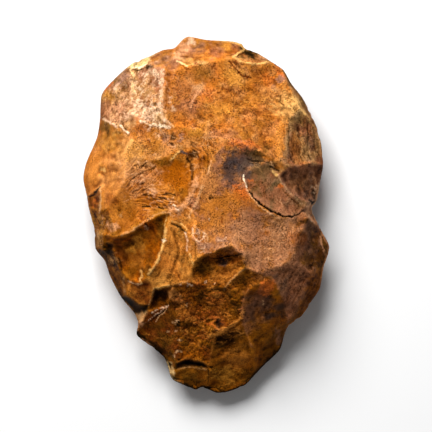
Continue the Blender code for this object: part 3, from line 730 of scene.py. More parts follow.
# Each scar's main colour, the colour of its blotches, that of its flecks, and how many flecks it has.
SCAR_COLOURS = {
    "crown": ("orange", "pink brown", "red brown", 0.3), "crown chip": ("amber", "tan", "brown", 0.3),
    "shoulder": ("orange", "pink brown", "orange brown", 0.3), "cortex": ("pink brown", "tan", "brown", 1),
    "cortex wall": ("orange", "amber", "red brown", 0.4), "central": ("orange", "amber", "red brown", 1),
    "edge strip": ("tan", "olive brown", "dark brown", 0.5),
    "upper right facet": ("tan", "pink brown", "dark brown", 0.9),
    "lower right facet": ("pink brown", "purple brown", "dusk", 0.8),
    "bridge": ("brown", "tan", "dark brown", 0.6),
    "clinging flake": ("smoky brown", "pink brown", "brown", 0.5),
    "notch": ("pink tan", "pink brown", "dark brown", 0.7),
    "right dark facet": ("brown", "purple brown", "black brown", 0.6),
    "purple flank": ("pink brown", "purple brown", "dark brown", 0.4),
    "right edge chips": ("orange brown", "purple brown", "black brown", 0.6),
    "saddle": ("pink brown", "orange", "brown", 0.6), "upper band": ("orange", "amber", "red brown", 0.7),
    "rippled bowl": ("orange", "orange brown", "red brown", 0.6),
    "left bulge": ("orange", "amber", "orange brown", 0.4),
    "edge triangle": ("orange brown", "red brown", "dark brown", 0.2),
    "left lip": ("orange brown", "ochre", "dark brown", 0.7),
    "nub": ("orange brown", "brown", "dark brown", 0.8),
    "great left scar": ("deep orange", "orange brown", "red brown", 0.3),
    "left edge chips": ("orange brown", "dark brown", "black brown", 0.6),
    "striated": ("orange", "bright orange", "brown", 0.6),
    "red facet": ("orange", "red brown", "dark brown", 0.6),
    "black band": ("dark brown", "black brown", "black brown", 0.2),
    "cream facet": ("pale tan", "tan", "brown", 0.2),
    "black hollow": ("brown", "orange brown", "black brown", 0.3),
    "brown facet": ("brown", "red brown", "dark brown", 0.4),
    "rough front": ("orange brown", "red brown", "black brown", 1.1),
    "front hollow": ("orange brown", "orange", "dark brown", 0.8),
    "tan wedge": ("orange brown", "orange", "dark brown", 0.9),
    "right hollow": ("orange brown", "dusk", "dark brown", 0.6),
    "lower right scar": ("orange brown", "brown", "dark brown", 0.6),
    "end scar": ("orange brown", "brown", "dark brown", 0.6),
    # The step's dark brown and black brown are painted shade in the mouth under its overhanging lip.
    "step": ("dark brown", "black brown", "black brown", 0.4),
    "end facet": ("orange brown", "brown", "dark brown", 0.7),
    "end chip": ("orange brown", "olive brown", "dark brown", 0.6),
    # underside
    "resting flat": ("orange brown", "orange", "dark brown", 1.2),
    "north-west": ("orange", "amber", "red brown", 0.9),
    "north": ("orange brown", "red brown", "brown", 0.9),
    "inner north": ("amber", "orange brown", "brown", 1.1),
    "north-east": ("orange", "amber", "red brown", 0.8),
    "east": ("orange brown", "purple brown", "dark brown", 1.1),
    "under the notch": ("purple brown", "brown", "dusk", 0.9),
    "inner south-east": ("orange brown", "brown", "dark brown", 1),
    "south-east": ("brown", "purple brown", "dark brown", 0.9),
    "flank": ("brown", "orange brown", "dark brown", 0.9),
    "south": ("red brown", "orange brown", "dark brown", 1),
    "end": ("brown", "red brown", "dark brown", 0.9),
    "narrow end": ("orange brown", "dark brown", "black brown", 0.9),
    "inner south-west": ("orange", "orange brown", "red brown", 1),
    "south-west": ("orange", "deep orange", "dark brown", 1),
    "inner west": ("orange", "brown", "red brown", 1), "west": ("orange brown", "red brown", "brown", 0.9),
    "shoulder edge": ("orange", "orange brown", "brown", 0.9),
}

# Stained, bleached or bruised patches, and patches of painted shade, shadow and glints: middle, half sizes,
# heading in degrees, colour and strength.
PATCHES = (
    # crown and shoulder
    ((-8.2, 62.6), (4.6, 2.2), 48, "pink tan", 1.1), ((-5.6, 65.4), (2, 1.2), 45, "pinkish white", 0.9),
    ((-2.4, 63), (2.2, 1.5), -30, "purple brown", 0.5),
    ((-1.5, 59.6), (3.8, 1.3), -22, "bright orange", 0.45),
    ((8, 63.5), (2.8, 1.3), 0, "yellow orange", 0.6), ((-5, 57.4), (4.6, 0.9), -5, "pale yellow", 0.3),
    ((16.8, 60.6), (3.3, 1.5), -28, "olive dark", 1), ((13.6, 59.4), (1.8, 0.8), 10, "olive brown", 0.7),
    ((22, 58.8), (2.6, 0.9), -30, "pink tan", 0.6), ((-25, 57.3), (4.2, 1.5), 22, "cream", 1.2),
    ((-25.6, 57.8), (1.3, 0.4), 25, "olive brown", 0.7), ((-20.4, 58.6), (0.9, 2), 0, "orange brown", 0.6),
    ((-21.4, 55.5), (1.2, 0.6), 10, "dark brown", 1),
    # cortex
    ((-31.5, 51.5), (2.6, 3.2), -30, "mauve", 0.9), ((-33.6, 48.4), (1.6, 0.8), 20, "pinkish white", 0.5),
    ((-34, 50.8), (1.4, 0.8), 30, "olive brown", 0.8), ((-30.6, 48.2), (1.2, 1.7), 0, "brown", 0.8),
    ((-35.8, 44.2), (2.2, 2.2), 0, "ochre", 0.8), ((-34, 39.5), (4, 3.4), -35, "pink tan", 0.4),
    ((-26.4, 46.2), (1.1, 1.5), 0, "brown", 0.8), ((-27.2, 50.6), (1.2, 0.6), 20, "dark brown", 0.8),
    ((-19.5, 52.6), (3.4, 1.2), -5, "pinkish white", 0.75),
    ((-18, 49.2), (1.7, 1.4), 30, "purple brown", 0.6),
    ((-25.8, 40.3), (1.7, 3.3), 15, "pinkish white", 0.75),
    ((-27.2, 47.5), (1.3, 5.5), 0, "pale tan", 0.35), ((-20, 37.2), (3.8, 2.2), 0, "pinkish white", 0.5),
    ((-18.6, 41.5), (1.9, 0.6), 0, "dark brown", 0.8), ((-21.6, 36.6), (1, 0.6), 0, "mauve", 0.7),
    ((-22.5, 47.5), (3, 3.2), 0, "tan", 0.6), ((-29, 37.5), (2.2, 1.8), 40, "pinkish white", 0.4),
    ((-29.6, 44), (1.4, 4), 5, "tan", 0.6), ((-27.8, 33.4), (1.6, 1.8), 0, "tan", 0.7),
    # left bulge
    ((-37.6, 33), (1.9, 2.8), 30, "olive brown", 0.8), ((-33, 31), (2.2, 0.5), 12, "dark brown", 0.7),
    ((-42, 17), (3.4, 7.5), -8, "bright orange", 0.7), ((-36, 27), (4, 4), 0, "ochre", 0.6),
    ((-28, 21), (5.5, 8), 20, "pale yellow", 0.25), ((-33, 14), (6, 8), 0, "amber", 0.5),
    ((-24.5, 31.6), (4.2, 1.5), 0, "red brown", 0.5), ((-38.8, 17.4), (0.9, 1), 0, "pale yellow", 0.8),
    ((-31, 3), (6, 5), 20, "orange brown", 0.4), ((-35, 5.5), (2, 1.6), -30, "red brown", 0.5),
    ((-37, 0.5), (1.2, 2), 0, "red brown", 0.5), ((-35, -4.4), (2.4, 1.4), -10, "pink tan", 0.7),
    ((-33.6, -7), (2.4, 1.1), 12, "brown", 0.5), ((-42, 4.6), (1.3, 1.2), 0, "red orange", 0.7),
    # The dark brown in the pit at (-32, 1.6) is painted shade, and the tan below it a painted highlight.
    ((-41, -9.6), (1.3, 3.2), 0, "olive brown", 0.55), ((-32, 1.6), (0.7, 0.5), 20, "dark brown", 0.8),
    ((-32, 0.2), (0.7, 0.8), 0, "tan", 0.7),
    # upper band
    ((-5, 30.6), (4.4, 1.4), -10, "ochre", 0.6), ((-15.3, 28.8), (1.6, 1.9), 0, "mauve", 0.6),
    # The black brown in the pit at (-12.4, 26.6) is painted shade, and the pinkish white below it a painted
    # highlight.
    ((-12.2, 29.4), (0.9, 1.8), -15, "dark brown", 0.8), ((-12.4, 26.6), (0.9, 0.5), 0, "black brown", 0.7),
    ((-12.3, 25.7), (0.9, 0.4), 0, "pinkish white", 0.3), ((-8.6, 28.2), (1.3, 1.2), 0, "mauve", 0.7),
    ((-6, 27), (0.7, 1.7), 20, "brown", 0.8), ((-9.6, 25), (1.2, 0.9), 0, "tan", 0.6),
    # rippled bowl
    ((-11, 15.2), (5.6, 5.8), 15, "deep orange", 1), ((-14, 20), (2.8, 1.2), 25, "olive brown", 0.5),
    # The dark brown at (-5.2, 21.6) is partly painted shade at the bowl's right rim.
    ((-5.2, 21.6), (3.2, 1.6), 65, "dark brown", 0.85), ((-8.4, 23.3), (1.2, 0.7), -20, "smoke", 0.9),
    ((-24, 15), (6, 6.4), 42, "pink tan", 0.35), ((-19.5, 9.6), (1.8, 0.8), -15, "pale pink", 0.4),
    ((-10, 2.4), (1.3, 0.7), -20, "smoke", 0.7), ((-24, 1.6), (0.5, 0.9), 0, "dark brown", 0.9),
    # The black brown in the pit at (-21.9, -3.2) is painted shade, and the pinkish white below it a painted
    # highlight.
    ((-21.9, -3.2), (0.9, 0.6), 0, "black brown", 1.1), ((-21.9, -4.2), (0.8, 0.4), 0, "pinkish white", 1),
    # central scar
    ((11, 52), (4, 3), -10, "yellow orange", 0.7), ((-1, 52.6), (3.6, 2.8), 0, "olive brown", 0.45),
    ((-9, 48.5), (2.2, 4.8), 0, "deep orange", 0.6), ((-2.6, 46.8), (2.2, 2.4), -20, "pale tan", 0.7),
    ((-6, 40.5), (3.4, 3), 30, "pink brown", 0.5), ((0, 45), (3.2, 2), 0, "red orange", 0.5),
    ((-2.5, 37), (2.6, 2.2), 0, "brown", 0.6), ((5.5, 38.8), (3.2, 2.6), 0, "yellow orange", 0.6),
    ((7.4, 43), (2, 1.2), -20, "red brown", 0.55), ((12.6, 41.2), (2, 1.4), 20, "red brown", 0.55),
    ((8, 36.2), (1.6, 0.7), 0, "red brown", 0.55), ((13.4, 38.1), (2.2, 0.8), 0, "red brown", 0.55),
    ((18.4, 38.6), (1.9, 1.1), 10, "red brown", 0.55), ((24, 37.6), (1.9, 2.2), 0, "red brown", 0.65),
    ((23, 33), (1.4, 1.7), 0, "red brown", 0.55), ((20.3, 30.8), (1.5, 1), 0, "red brown", 0.55),
    ((15, 34), (0.9, 1.3), 0, "red brown", 0.55), ((2.6, 33.2), (1.1, 0.7), 0, "red brown", 0.55),
    ((-7, 43), (5, 8), 0, "pink brown", 0.35), ((2, 50), (3, 2), 20, "deep orange", 0.5),
    ((18, 46), (4, 2.2), -30, "orange brown", 0.45), ((10, 42.4), (5, 1.6), -8, "orange brown", 0.5),
    ((22, 34.6), (3.6, 3.4), 0, "orange brown", 0.4), ((-9.4, 36.6), (3, 2.4), -30, "orange brown", 0.45),
    ((18, 53.6), (4, 1.6), -20, "red brown", 0.35), ((24, 51), (3, 2.6), -30, "red orange", 0.5),
    ((28, 51.2), (1.5, 1.3), 0, "mauve", 0.8), ((26, 47.4), (1.1, 1.2), 0, "pink tan", 0.7),
    ((28, 53.6), (2.6, 1.6), -50, "red orange", 0.6), ((31, 41), (5.5, 5), -35, "pale yellow", 0.5),
    ((32, 45.2), (1.3, 0.9), 0, "brown", 0.7), ((26.5, 43), (1.2, 0.7), -30, "brown", 0.7),
    ((30.5, 37), (1, 1.6), 20, "brown", 0.6), ((28.6, 39.6), (0.8, 0.8), 0, "dark brown", 0.6),
    ((33.6, 39.4), (0.7, 1.2), -35, "brown", 0.7), ((24, 45), (4, 4), 0, "amber", 0.5),
    ((7, 29.6), (5.2, 2), -10, "pink brown", 0.6), ((14, 26.2), (6.4, 1.7), -8, "red orange", 0.8),
    # smoky stain, and the clinging flake
    ((13, 20.8), (5.4, 3.2), 10, "smoke", 0.65), ((9.4, 15.4), (3, 6.2), -12, "smoke", 0.75),
    ((11.5, 17.5), (6, 8.5), -25, "smoke", 0.4), ((19.5, 22), (4.6, 1.9), -8, "olive dark", 0.8),
    ((22.5, 24.6), (1.6, 2), 35, "olive brown", 0.6), ((19.6, 17), (5, 3.4), -20, "smoky brown", 0.7),
    ((14.6, 17), (2.6, 3.6), 0, "smoke", 0.6), ((13.2, 7.6), (3.8, 2.8), -25, "red orange", 1.1),
    ((9.5, 5), (7, 3.6), -12, "orange", 0.7), ((16.8, 12.7), (1.2, 0.8), -10, "red orange", 0.8),
    ((27.4, 9.8), (1.3, 1.1), -45, "red orange", 1), ((29.6, 4.6), (7, 3.6), -42, "pink brown", 1),
    ((30, 4.2), (1.2, 2), 28, "purple brown", 0.85), ((21, 13.2), (0.5, 0.5), 0, "dark brown", 1),
    # right side
    ((27.8, 27), (1.5, 8), 0, "bright orange", 0.9), ((35, 37), (2, 2.6), -30, "dark brown", 0.4),
    ((33.4, 25), (2, 6), 0, "deep orange", 0.5), ((40, 28), (2.6, 5.5), 0, "dusk", 0.25),
    ((35.5, 12.6), (3.4, 3.6), 0, "olive brown", 0.3), ((41.8, 11), (0.8, 4.5), 8, "pink tan", 0.8),
    ((40.6, 8), (0.8, 2.2), 0, "black brown", 0.7), ((41, 4.8), (1, 0.8), 0, "black brown", 1.1),
    ((36.8, -2), (1.9, 1), 10, "dark brown", 0.9), ((35.6, -8), (1.8, 2.4), 20, "red brown", 0.6),
    ((45, -12), (1, 2.6), 20, "olive brown", 0.5), ((16, -5), (6.5, 6), 0, "mauve", 0.55),
    ((14, -8), (7, 6.5), 0, "pink tan", 0.5), ((20, -11), (5, 7), 0, "pink brown", 0.6),
    ((28, -4), (7, 3.4), -10, "pink tan", 0.6), ((28, -18), (8.5, 2.8), 32, "pink brown", 0.65),
    ((27, -11), (4.4, 6.4), 10, "pink tan", 0.45), ((18, -15), (3, 4.5), 0, "pink tan", 0.45),
    ((3.6, -3.2), (4.6, 6.4), 0, "bright orange", 0.6), ((3, 4), (5, 5), 0, "orange", 0.9),
    ((1, 12), (4, 5), 0, "amber", 0.9), ((1.8, -1.4), (0.4, 0.7), 0, "pinkish white", 0.8),
    ((2.1, 6.5), (0.5, 0.7), 0, "dark brown", 1), ((6.6, -1.8), (0.6, 1.3), 0, "red brown", 0.9),
    ((-1, -11.8), (2.6, 1.7), 0, "mauve", 0.7), ((-3, -7.3), (0.9, 1.7), 10, "mauve", 0.7),
    ((6.6, -10), (2.4, 1.2), -15, "mauve", 0.7),
    # hollow below the highest ridge, where the dark brown, olive dark and black brown are partly painted
    # shade
    ((7, -14.2), (5, 1.4), 4, "red brown", 0.6), ((8, -16.6), (5.6, 1), 6, "dark brown", 0.7),
    ((6.8, -17.6), (1.6, 1.8), 0, "smoke", 0.7), ((11.6, -17.2), (2.6, 1.3), 10, "red brown", 0.7),
    ((0, -18.6), (3.6, 2.6), 0, "olive dark", 0.6), ((6.4, -22.6), (1.9, 2.7), 15, "orange", 0.9),
    ((10, -19.8), (3.4, 1), 30, "orange", 0.6), ((-1, -21.6), (1.7, 1.6), 0, "black brown", 0.7),
    # left flank
    # The black brown patches at (-36.6, -11.8), (-36.4, -14.4) and (-33, -11.2), and the dark brown at
    # (-31.6, -13.4), are painted shadow under the nub's ridge.
    ((-36.6, -11.8), (2.8, 1), -10, "black brown", 0.9),
    ((-36.4, -14.4), (3.2, 1.7), -35, "black brown", 0.85),
    ((-33.2, -18.4), (1, 2.8), 25, "black brown", 0.6), ((-33, -11.2), (3.8, 1.2), -8, "black brown", 0.55),
    ((-31.6, -13.4), (4, 1.6), -30, "dark brown", 0.7), ((-31, -15.5), (2.4, 4), 20, "red brown", 0.7),
    ((-25.5, -11), (4, 3.2), 40, "ochre", 0.8), ((-20.5, -7), (2.4, 4), -20, "red brown", 0.4),
    ((-25, -16.5), (3.6, 3.6), 40, "orange", 0.5), ((-21.6, -20.6), (3.6, 1.8), -20, "dark brown", 0.7),
    ((-16.6, -4.6), (1.6, 4.2), -8, "olive brown", 0.6), ((-35.4, -16.8), (1.2, 0.9), 10, "tan", 0.7),
    ((-15.6, -9.3), (0.9, 0.3), 0, "white", 0.8), ((-15, -8.3), (0.6, 0.4), 0, "black brown", 1),
    ((-24, -32.6), (2.2, 0.5), -25, "orange", 0.7), ((-25, -29), (3.4, 2.6), 0, "red brown", 0.5),
    # The black brown at (-16.6, -30) is partly painted shade in the black hollow, under the ridge above it.
    ((-16.6, -30), (2.8, 2), 10, "black brown", 0.8), ((-18.6, -32.4), (1.6, 1), 40, "brown", 0.6),
    ((-12, -34.6), (2, 3.6), 32, "black brown", 0.7), ((-24.4, -41), (1, 1), 0, "pink tan", 0.8),
    ((-24.6, -38.2), (0.8, 2), -30, "tan", 0.6),
    # narrow end
    # The black brown at (-19, -49.6) is partly painted shade where the edge turns under. The pale tan and
    # pale pink specks at (-10.7, -40.1), (-10.8, -43.3), (-9.7, -46.5) and (-10.6, -51.6) are painted
    # glints.
    ((-19, -49.6), (5.8, 1.3), -32, "black brown", 0.8), ((-10.7, -40.1), (1.2, 0.5), -20, "pale tan", 1),
    ((-10.2, -41.4), (1.2, 0.5), 0, "black brown", 1), ((-10.8, -43.3), (0.9, 0.35), 10, "pale pink", 0.8),
    ((-9.7, -46.5), (1.4, 0.5), -5, "pale tan", 1.1), ((-10.6, -51.6), (1.6, 0.6), 30, "pale tan", 1),
    # The black brown at (-6, -55.8) is painted shade in the step's mouth, the dusk at (4.8, -41) partly
    # painted shade in a hole, and the dark brown at (-2, -30) partly painted shade in a hollow of the rough
    # front.
    ((-6, -55.8), (4.6, 0.7), -4, "black brown", 0.9), ((4.8, -41), (1.2, 2.4), 25, "dusk", 0.9),
    ((-6, -42), (3, 1.8), 0, "dark brown", 0.6), ((-2, -30), (1.8, 3), 20, "dark brown", 0.8),
    ((-10.4, -30.6), (4.2, 2.1), -52, "amber", 0.6), ((-6.6, -36.2), (4.4, 1.9), -54, "orange", 0.6),
    ((4, -31), (1.9, 6), 12, "bright orange", 0.5), ((3.6, -33.6), (2.2, 2.8), 15, "red brown", 0.7),
    ((7.6, -37), (2, 1.6), -20, "orange", 0.7), ((-4.4, -36.4), (2.8, 1.7), 20, "red brown", 0.7),
    ((1, -40), (2.4, 2), 0, "orange brown", 0.8), ((8, -29.6), (1.6, 2.6), 0, "orange", 0.5),
    ((-9, -36), (1.6, 2.4), 0, "orange", 0.5), ((5.6, -27.4), (2, 1), 20, "dark brown", 0.7),
    ((-1, -44.4), (2, 1.6), 20, "red brown", 0.7), ((-7.2, -46.6), (1.8, 2.4), 0, "dark brown", 0.6),
    ((-3.6, -50), (2.2, 2), 0, "orange brown", 0.8), ((10.4, -33), (1.4, 3.6), 25, "dark brown", 0.9),
    # The small pinkish white and pale tan specks from (-5.6, -25.4) to (21.7, -33.3) are painted glints.
    ((13, -23.6), (3, 1.8), 10, "dark brown", 0.7), ((-5.6, -25.4), (1, 0.35), 20, "pinkish white", 0.8),
    ((0, -24.9), (0.5, 0.4), 0, "pinkish white", 0.8), ((-9.2, -26), (0.5, 0.3), 10, "pinkish white", 0.8),
    ((3.4, -25.2), (0.4, 0.3), 0, "pale tan", 0.8), ((-14.4, -43.6), (0.9, 0.4), -20, "pale tan", 0.7),
    ((-6.8, -33.2), (0.4, 0.3), 0, "pale tan", 0.8), ((21.7, -33.3), (0.4, 0.2), 0, "pale tan", 0.8),
    ((22.6, -26.9), (1.9, 3.4), -28, "red orange", 1.2), ((19.6, -29.2), (1.6, 2.6), -20, "dusk", 0.4),
    ((28.6, -36), (1.9, 2.8), 0, "dusk", 0.7), ((20.6, -44), (3.6, 4.8), -15, "orange brown", 0.5),
    ((24, -50), (2, 4), -40, "dark brown", 0.5), ((15.4, -36), (1.6, 6.5), 8, "pink brown", 0.4),
    ((20, -34), (5, 5), 0, "purple brown", 0.5), ((27.4, -45.4), (1.3, 3.6), 12, "mauve", 0.5),
    # The dark brown and black brown at the top of the end scar are painted shadow under the ridge above it.
    ((8.4, -47), (5.6, 3.4), 22, "dark brown", 0.8), ((7, -48.2), (4.2, 1.8), 12, "black brown", 0.6),
    ((12, -54.5), (4.4, 3.6), 0, "orange", 0.7), ((7.6, -60.4), (3.4, 2.8), 0, "ochre", 0.6),
    ((14.8, -61.2), (2.6, 1.3), 20, "dark brown", 0.6), ((-4.8, -60.8), (4.6, 2), -15, "olive brown", 0.3),
)

# Patches on the underside.
UNDERSIDE_PATCHES = (
    ((-14, 46), (7, 4), 20, "pale yellow", 0.4), ((20, 42), (6, 4), -30, "amber", 0.5),
    ((38, 24), (3, 8), 0, "dark brown", 0.6), ((-30, 24), (5, 9), 10, "bright orange", 0.5),
    ((6, 8), (5, 4), 20, "brown", 0.5), ((-12, -4), (5, 3), -20, "red brown", 0.5),
    ((28, -2), (6, 8), 0, "purple brown", 0.6), ((38, -20), (4, 8), 10, "dark brown", 0.6),
    ((10, -34), (7, 5), 0, "orange", 0.5), ((-8, -30), (6, 5), 30, "orange", 0.5),
    ((-26, -22), (5, 7), 20, "brown", 0.5), ((16, -54), (6, 4), 30, "dusk", 0.6),
    ((-4, -58), (6, 4), -10, "dark brown", 0.6), ((-38, 2), (3, 6), 0, "brown", 0.6),
    ((2, 58), (7, 4), 0, "red brown", 0.5), ((-30, 50), (5, 4), 40, "mauve", 0.5),
    ((4, 30), (6, 4), 10, "smoky brown", 0.5), ((-18, 4), (2.2, 3), 0, "smoke", 0.6),
    ((24, 18), (4, 3), 40, "dusk", 0.5), ((12, -6), (4, 6), -30, "orange", 0.5),
    ((-22, -6), (3, 5), 20, "ochre", 0.5), ((-6, 12), (5, 2.4), -15, "deep orange", 0.6),
    ((16, 30), (2, 1.4), 10, "black brown", 0.8), ((-17, 27), (1.6, 1), 30, "dark brown", 0.8),
    ((2, -12), (1.2, 1.8), 0, "dark brown", 0.7), ((-22, -40), (2.6, 1.2), -30, "black brown", 0.7),
    ((30, -34), (1.4, 2.6), 20, "black brown", 0.6),
)

# Patches of lace-like crests: middle, half sizes, heading in degrees, size of the lace, colour and strength.
# The lace is drawn out along its heading.
LACE_STRETCH = 1.8
LACE = (
    ((-21, 44.5), (11, 6.5), 70, 1.7, "pinkish white", 0.65),
    ((-20.5, 41.5), (10, 6), 105, 2.4, "white", 0.45),
    ((-19, 37.5), (5, 4), -30, 1.6, "pinkish white", 0.75), ((-18.5, 49), (4, 7), 20, 2, "pale pink", 0.65),
    ((-32, 42), (9, 6), -55, 2, "pale pink", 0.45), ((-31, 36.5), (6.5, 5), -40, 1.5, "pale tan", 0.5),
    ((-33, 49), (5, 5), 40, 2.2, "pale tan", 0.5), ((-28.5, 44), (8, 2.4), 85, 1.6, "pale pink", 0.6),
    ((30, 41), (5, 6.5), -35, 2.4, "pale yellow", 0.6), ((27, -12), (5, 8.5), 10, 1.6, "pale tan", 0.35),
    ((-12, 3), (6, 3), -30, 2.4, "pinkish white", 0.5),
    ((0, -11.5), (6, 2.4), 0, 2.4, "pinkish white", 0.5), ((0, -36), (11, 9), 0, 3.4, "red orange", 0.9),
    ((2, -42), (12, 8), 0, 1.8, "bright orange", 0.6), ((-6, 27.5), (11, 3.2), -10, 2.6, "pale tan", 0.4),
    ((7, 30), (9, 3), -10, 2.6, "pale pink", 0.25), ((-23, 11), (8, 9), 0, 2.2, "pale pink", 0.4),
    ((20, 42), (9, 8), 0, 2.6, "yellow orange", 0.5), ((31, 4), (5, 3.5), -40, 1.5, "pale tan", 0.45),
    ((-6, -9), (4, 8), 0, 2.6, "pale yellow", 0.35), ((38, 28), (4, 6), 0, 2, "orange", 0.6),
    ((-38, -3), (3, 6), 0, 2, "tan", 0.6), ((8, -61), (8, 5), 0, 1.6, "ochre", 0.5),
    ((41.8, 9), (1.6, 4.5), 5, 1.3, "pinkish white", 0.9), ((-40.4, -8.6), (2.2, 5), 0, 1.6, "tan", 0.9),
    ((-39.5, -1), (2.6, 4), 60, 1.4, "dark brown", 0.5), ((-35.4, -17), (3, 3.6), 30, 1.5, "tan", 0.6),
    ((-33.5, -22), (2.6, 6), 20, 1.6, "orange brown", 0.6),
    ((-3, -8.5), (3.2, 4.6), 0, 2.6, "pale pink", 0.6), ((38, -22), (5, 11), 0, 2.2, "pink brown", 0.55),
    ((12, -21.5), (4, 2.6), 20, 1.8, "orange", 0.6), ((-4, 18), (3, 7), 0, 2, "pale tan", 0.4),
)

# Patches of lace on the underside.
UNDERSIDE_LACE = (
    ((-34, 42), (6, 9), 15, 2.4, "pale tan", 0.8), ((-24, 52), (9, 5), 25, 2, "pinkish white", 0.7),
    ((-3, 1), (13, 9), 0, 2.4, "amber", 0.6), ((22, -22), (8, 8), 0, 2.6, "orange", 0.5),
    ((-10, -44), (8, 6), 0, 2.4, "orange", 0.5), ((28, 30), (6, 8), 0, 2.4, "tan", 0.5),
    ((-30, 6), (6, 9), 0, 2.6, "pink tan", 0.45), ((3, 42), (8, 5), 10, 2, "pale tan", 0.4),
)

# Runs of the cutting edge painted pale, as a highlight along the thin edge, or dark, where the black brown
# along the narrow end is partly painted shade of the edge turning under and partly dark chips: middle,
# reach, colour and strength.
EDGE_HIGHLIGHT_AND_SHADE_RUNS = (
    ((41, 34), 12, "pale tan", 0.9), ((43.5, 6), 9, "pinkish white", 0.9), ((45, -16), 13, "pink tan", 0.9),
    ((36, -38), 12, "tan", 0.6), ((-12, 62), 9, "pale tan", 0.7), ((-26, 58), 9, "cream", 0.7),
    ((10, 64), 7, "pale yellow", 0.8), ((-44, 4), 7, "pale tan", 0.7), ((-34, -28), 16, "tan", 0.5),
    ((-24, -44), 8, "pink tan", 0.5), ((0, -67), 16, "black brown", 1.3),
    ((22, -57), 14, "black brown", 1.1), ((-13, -60), 6, "cream", 0.8),
)
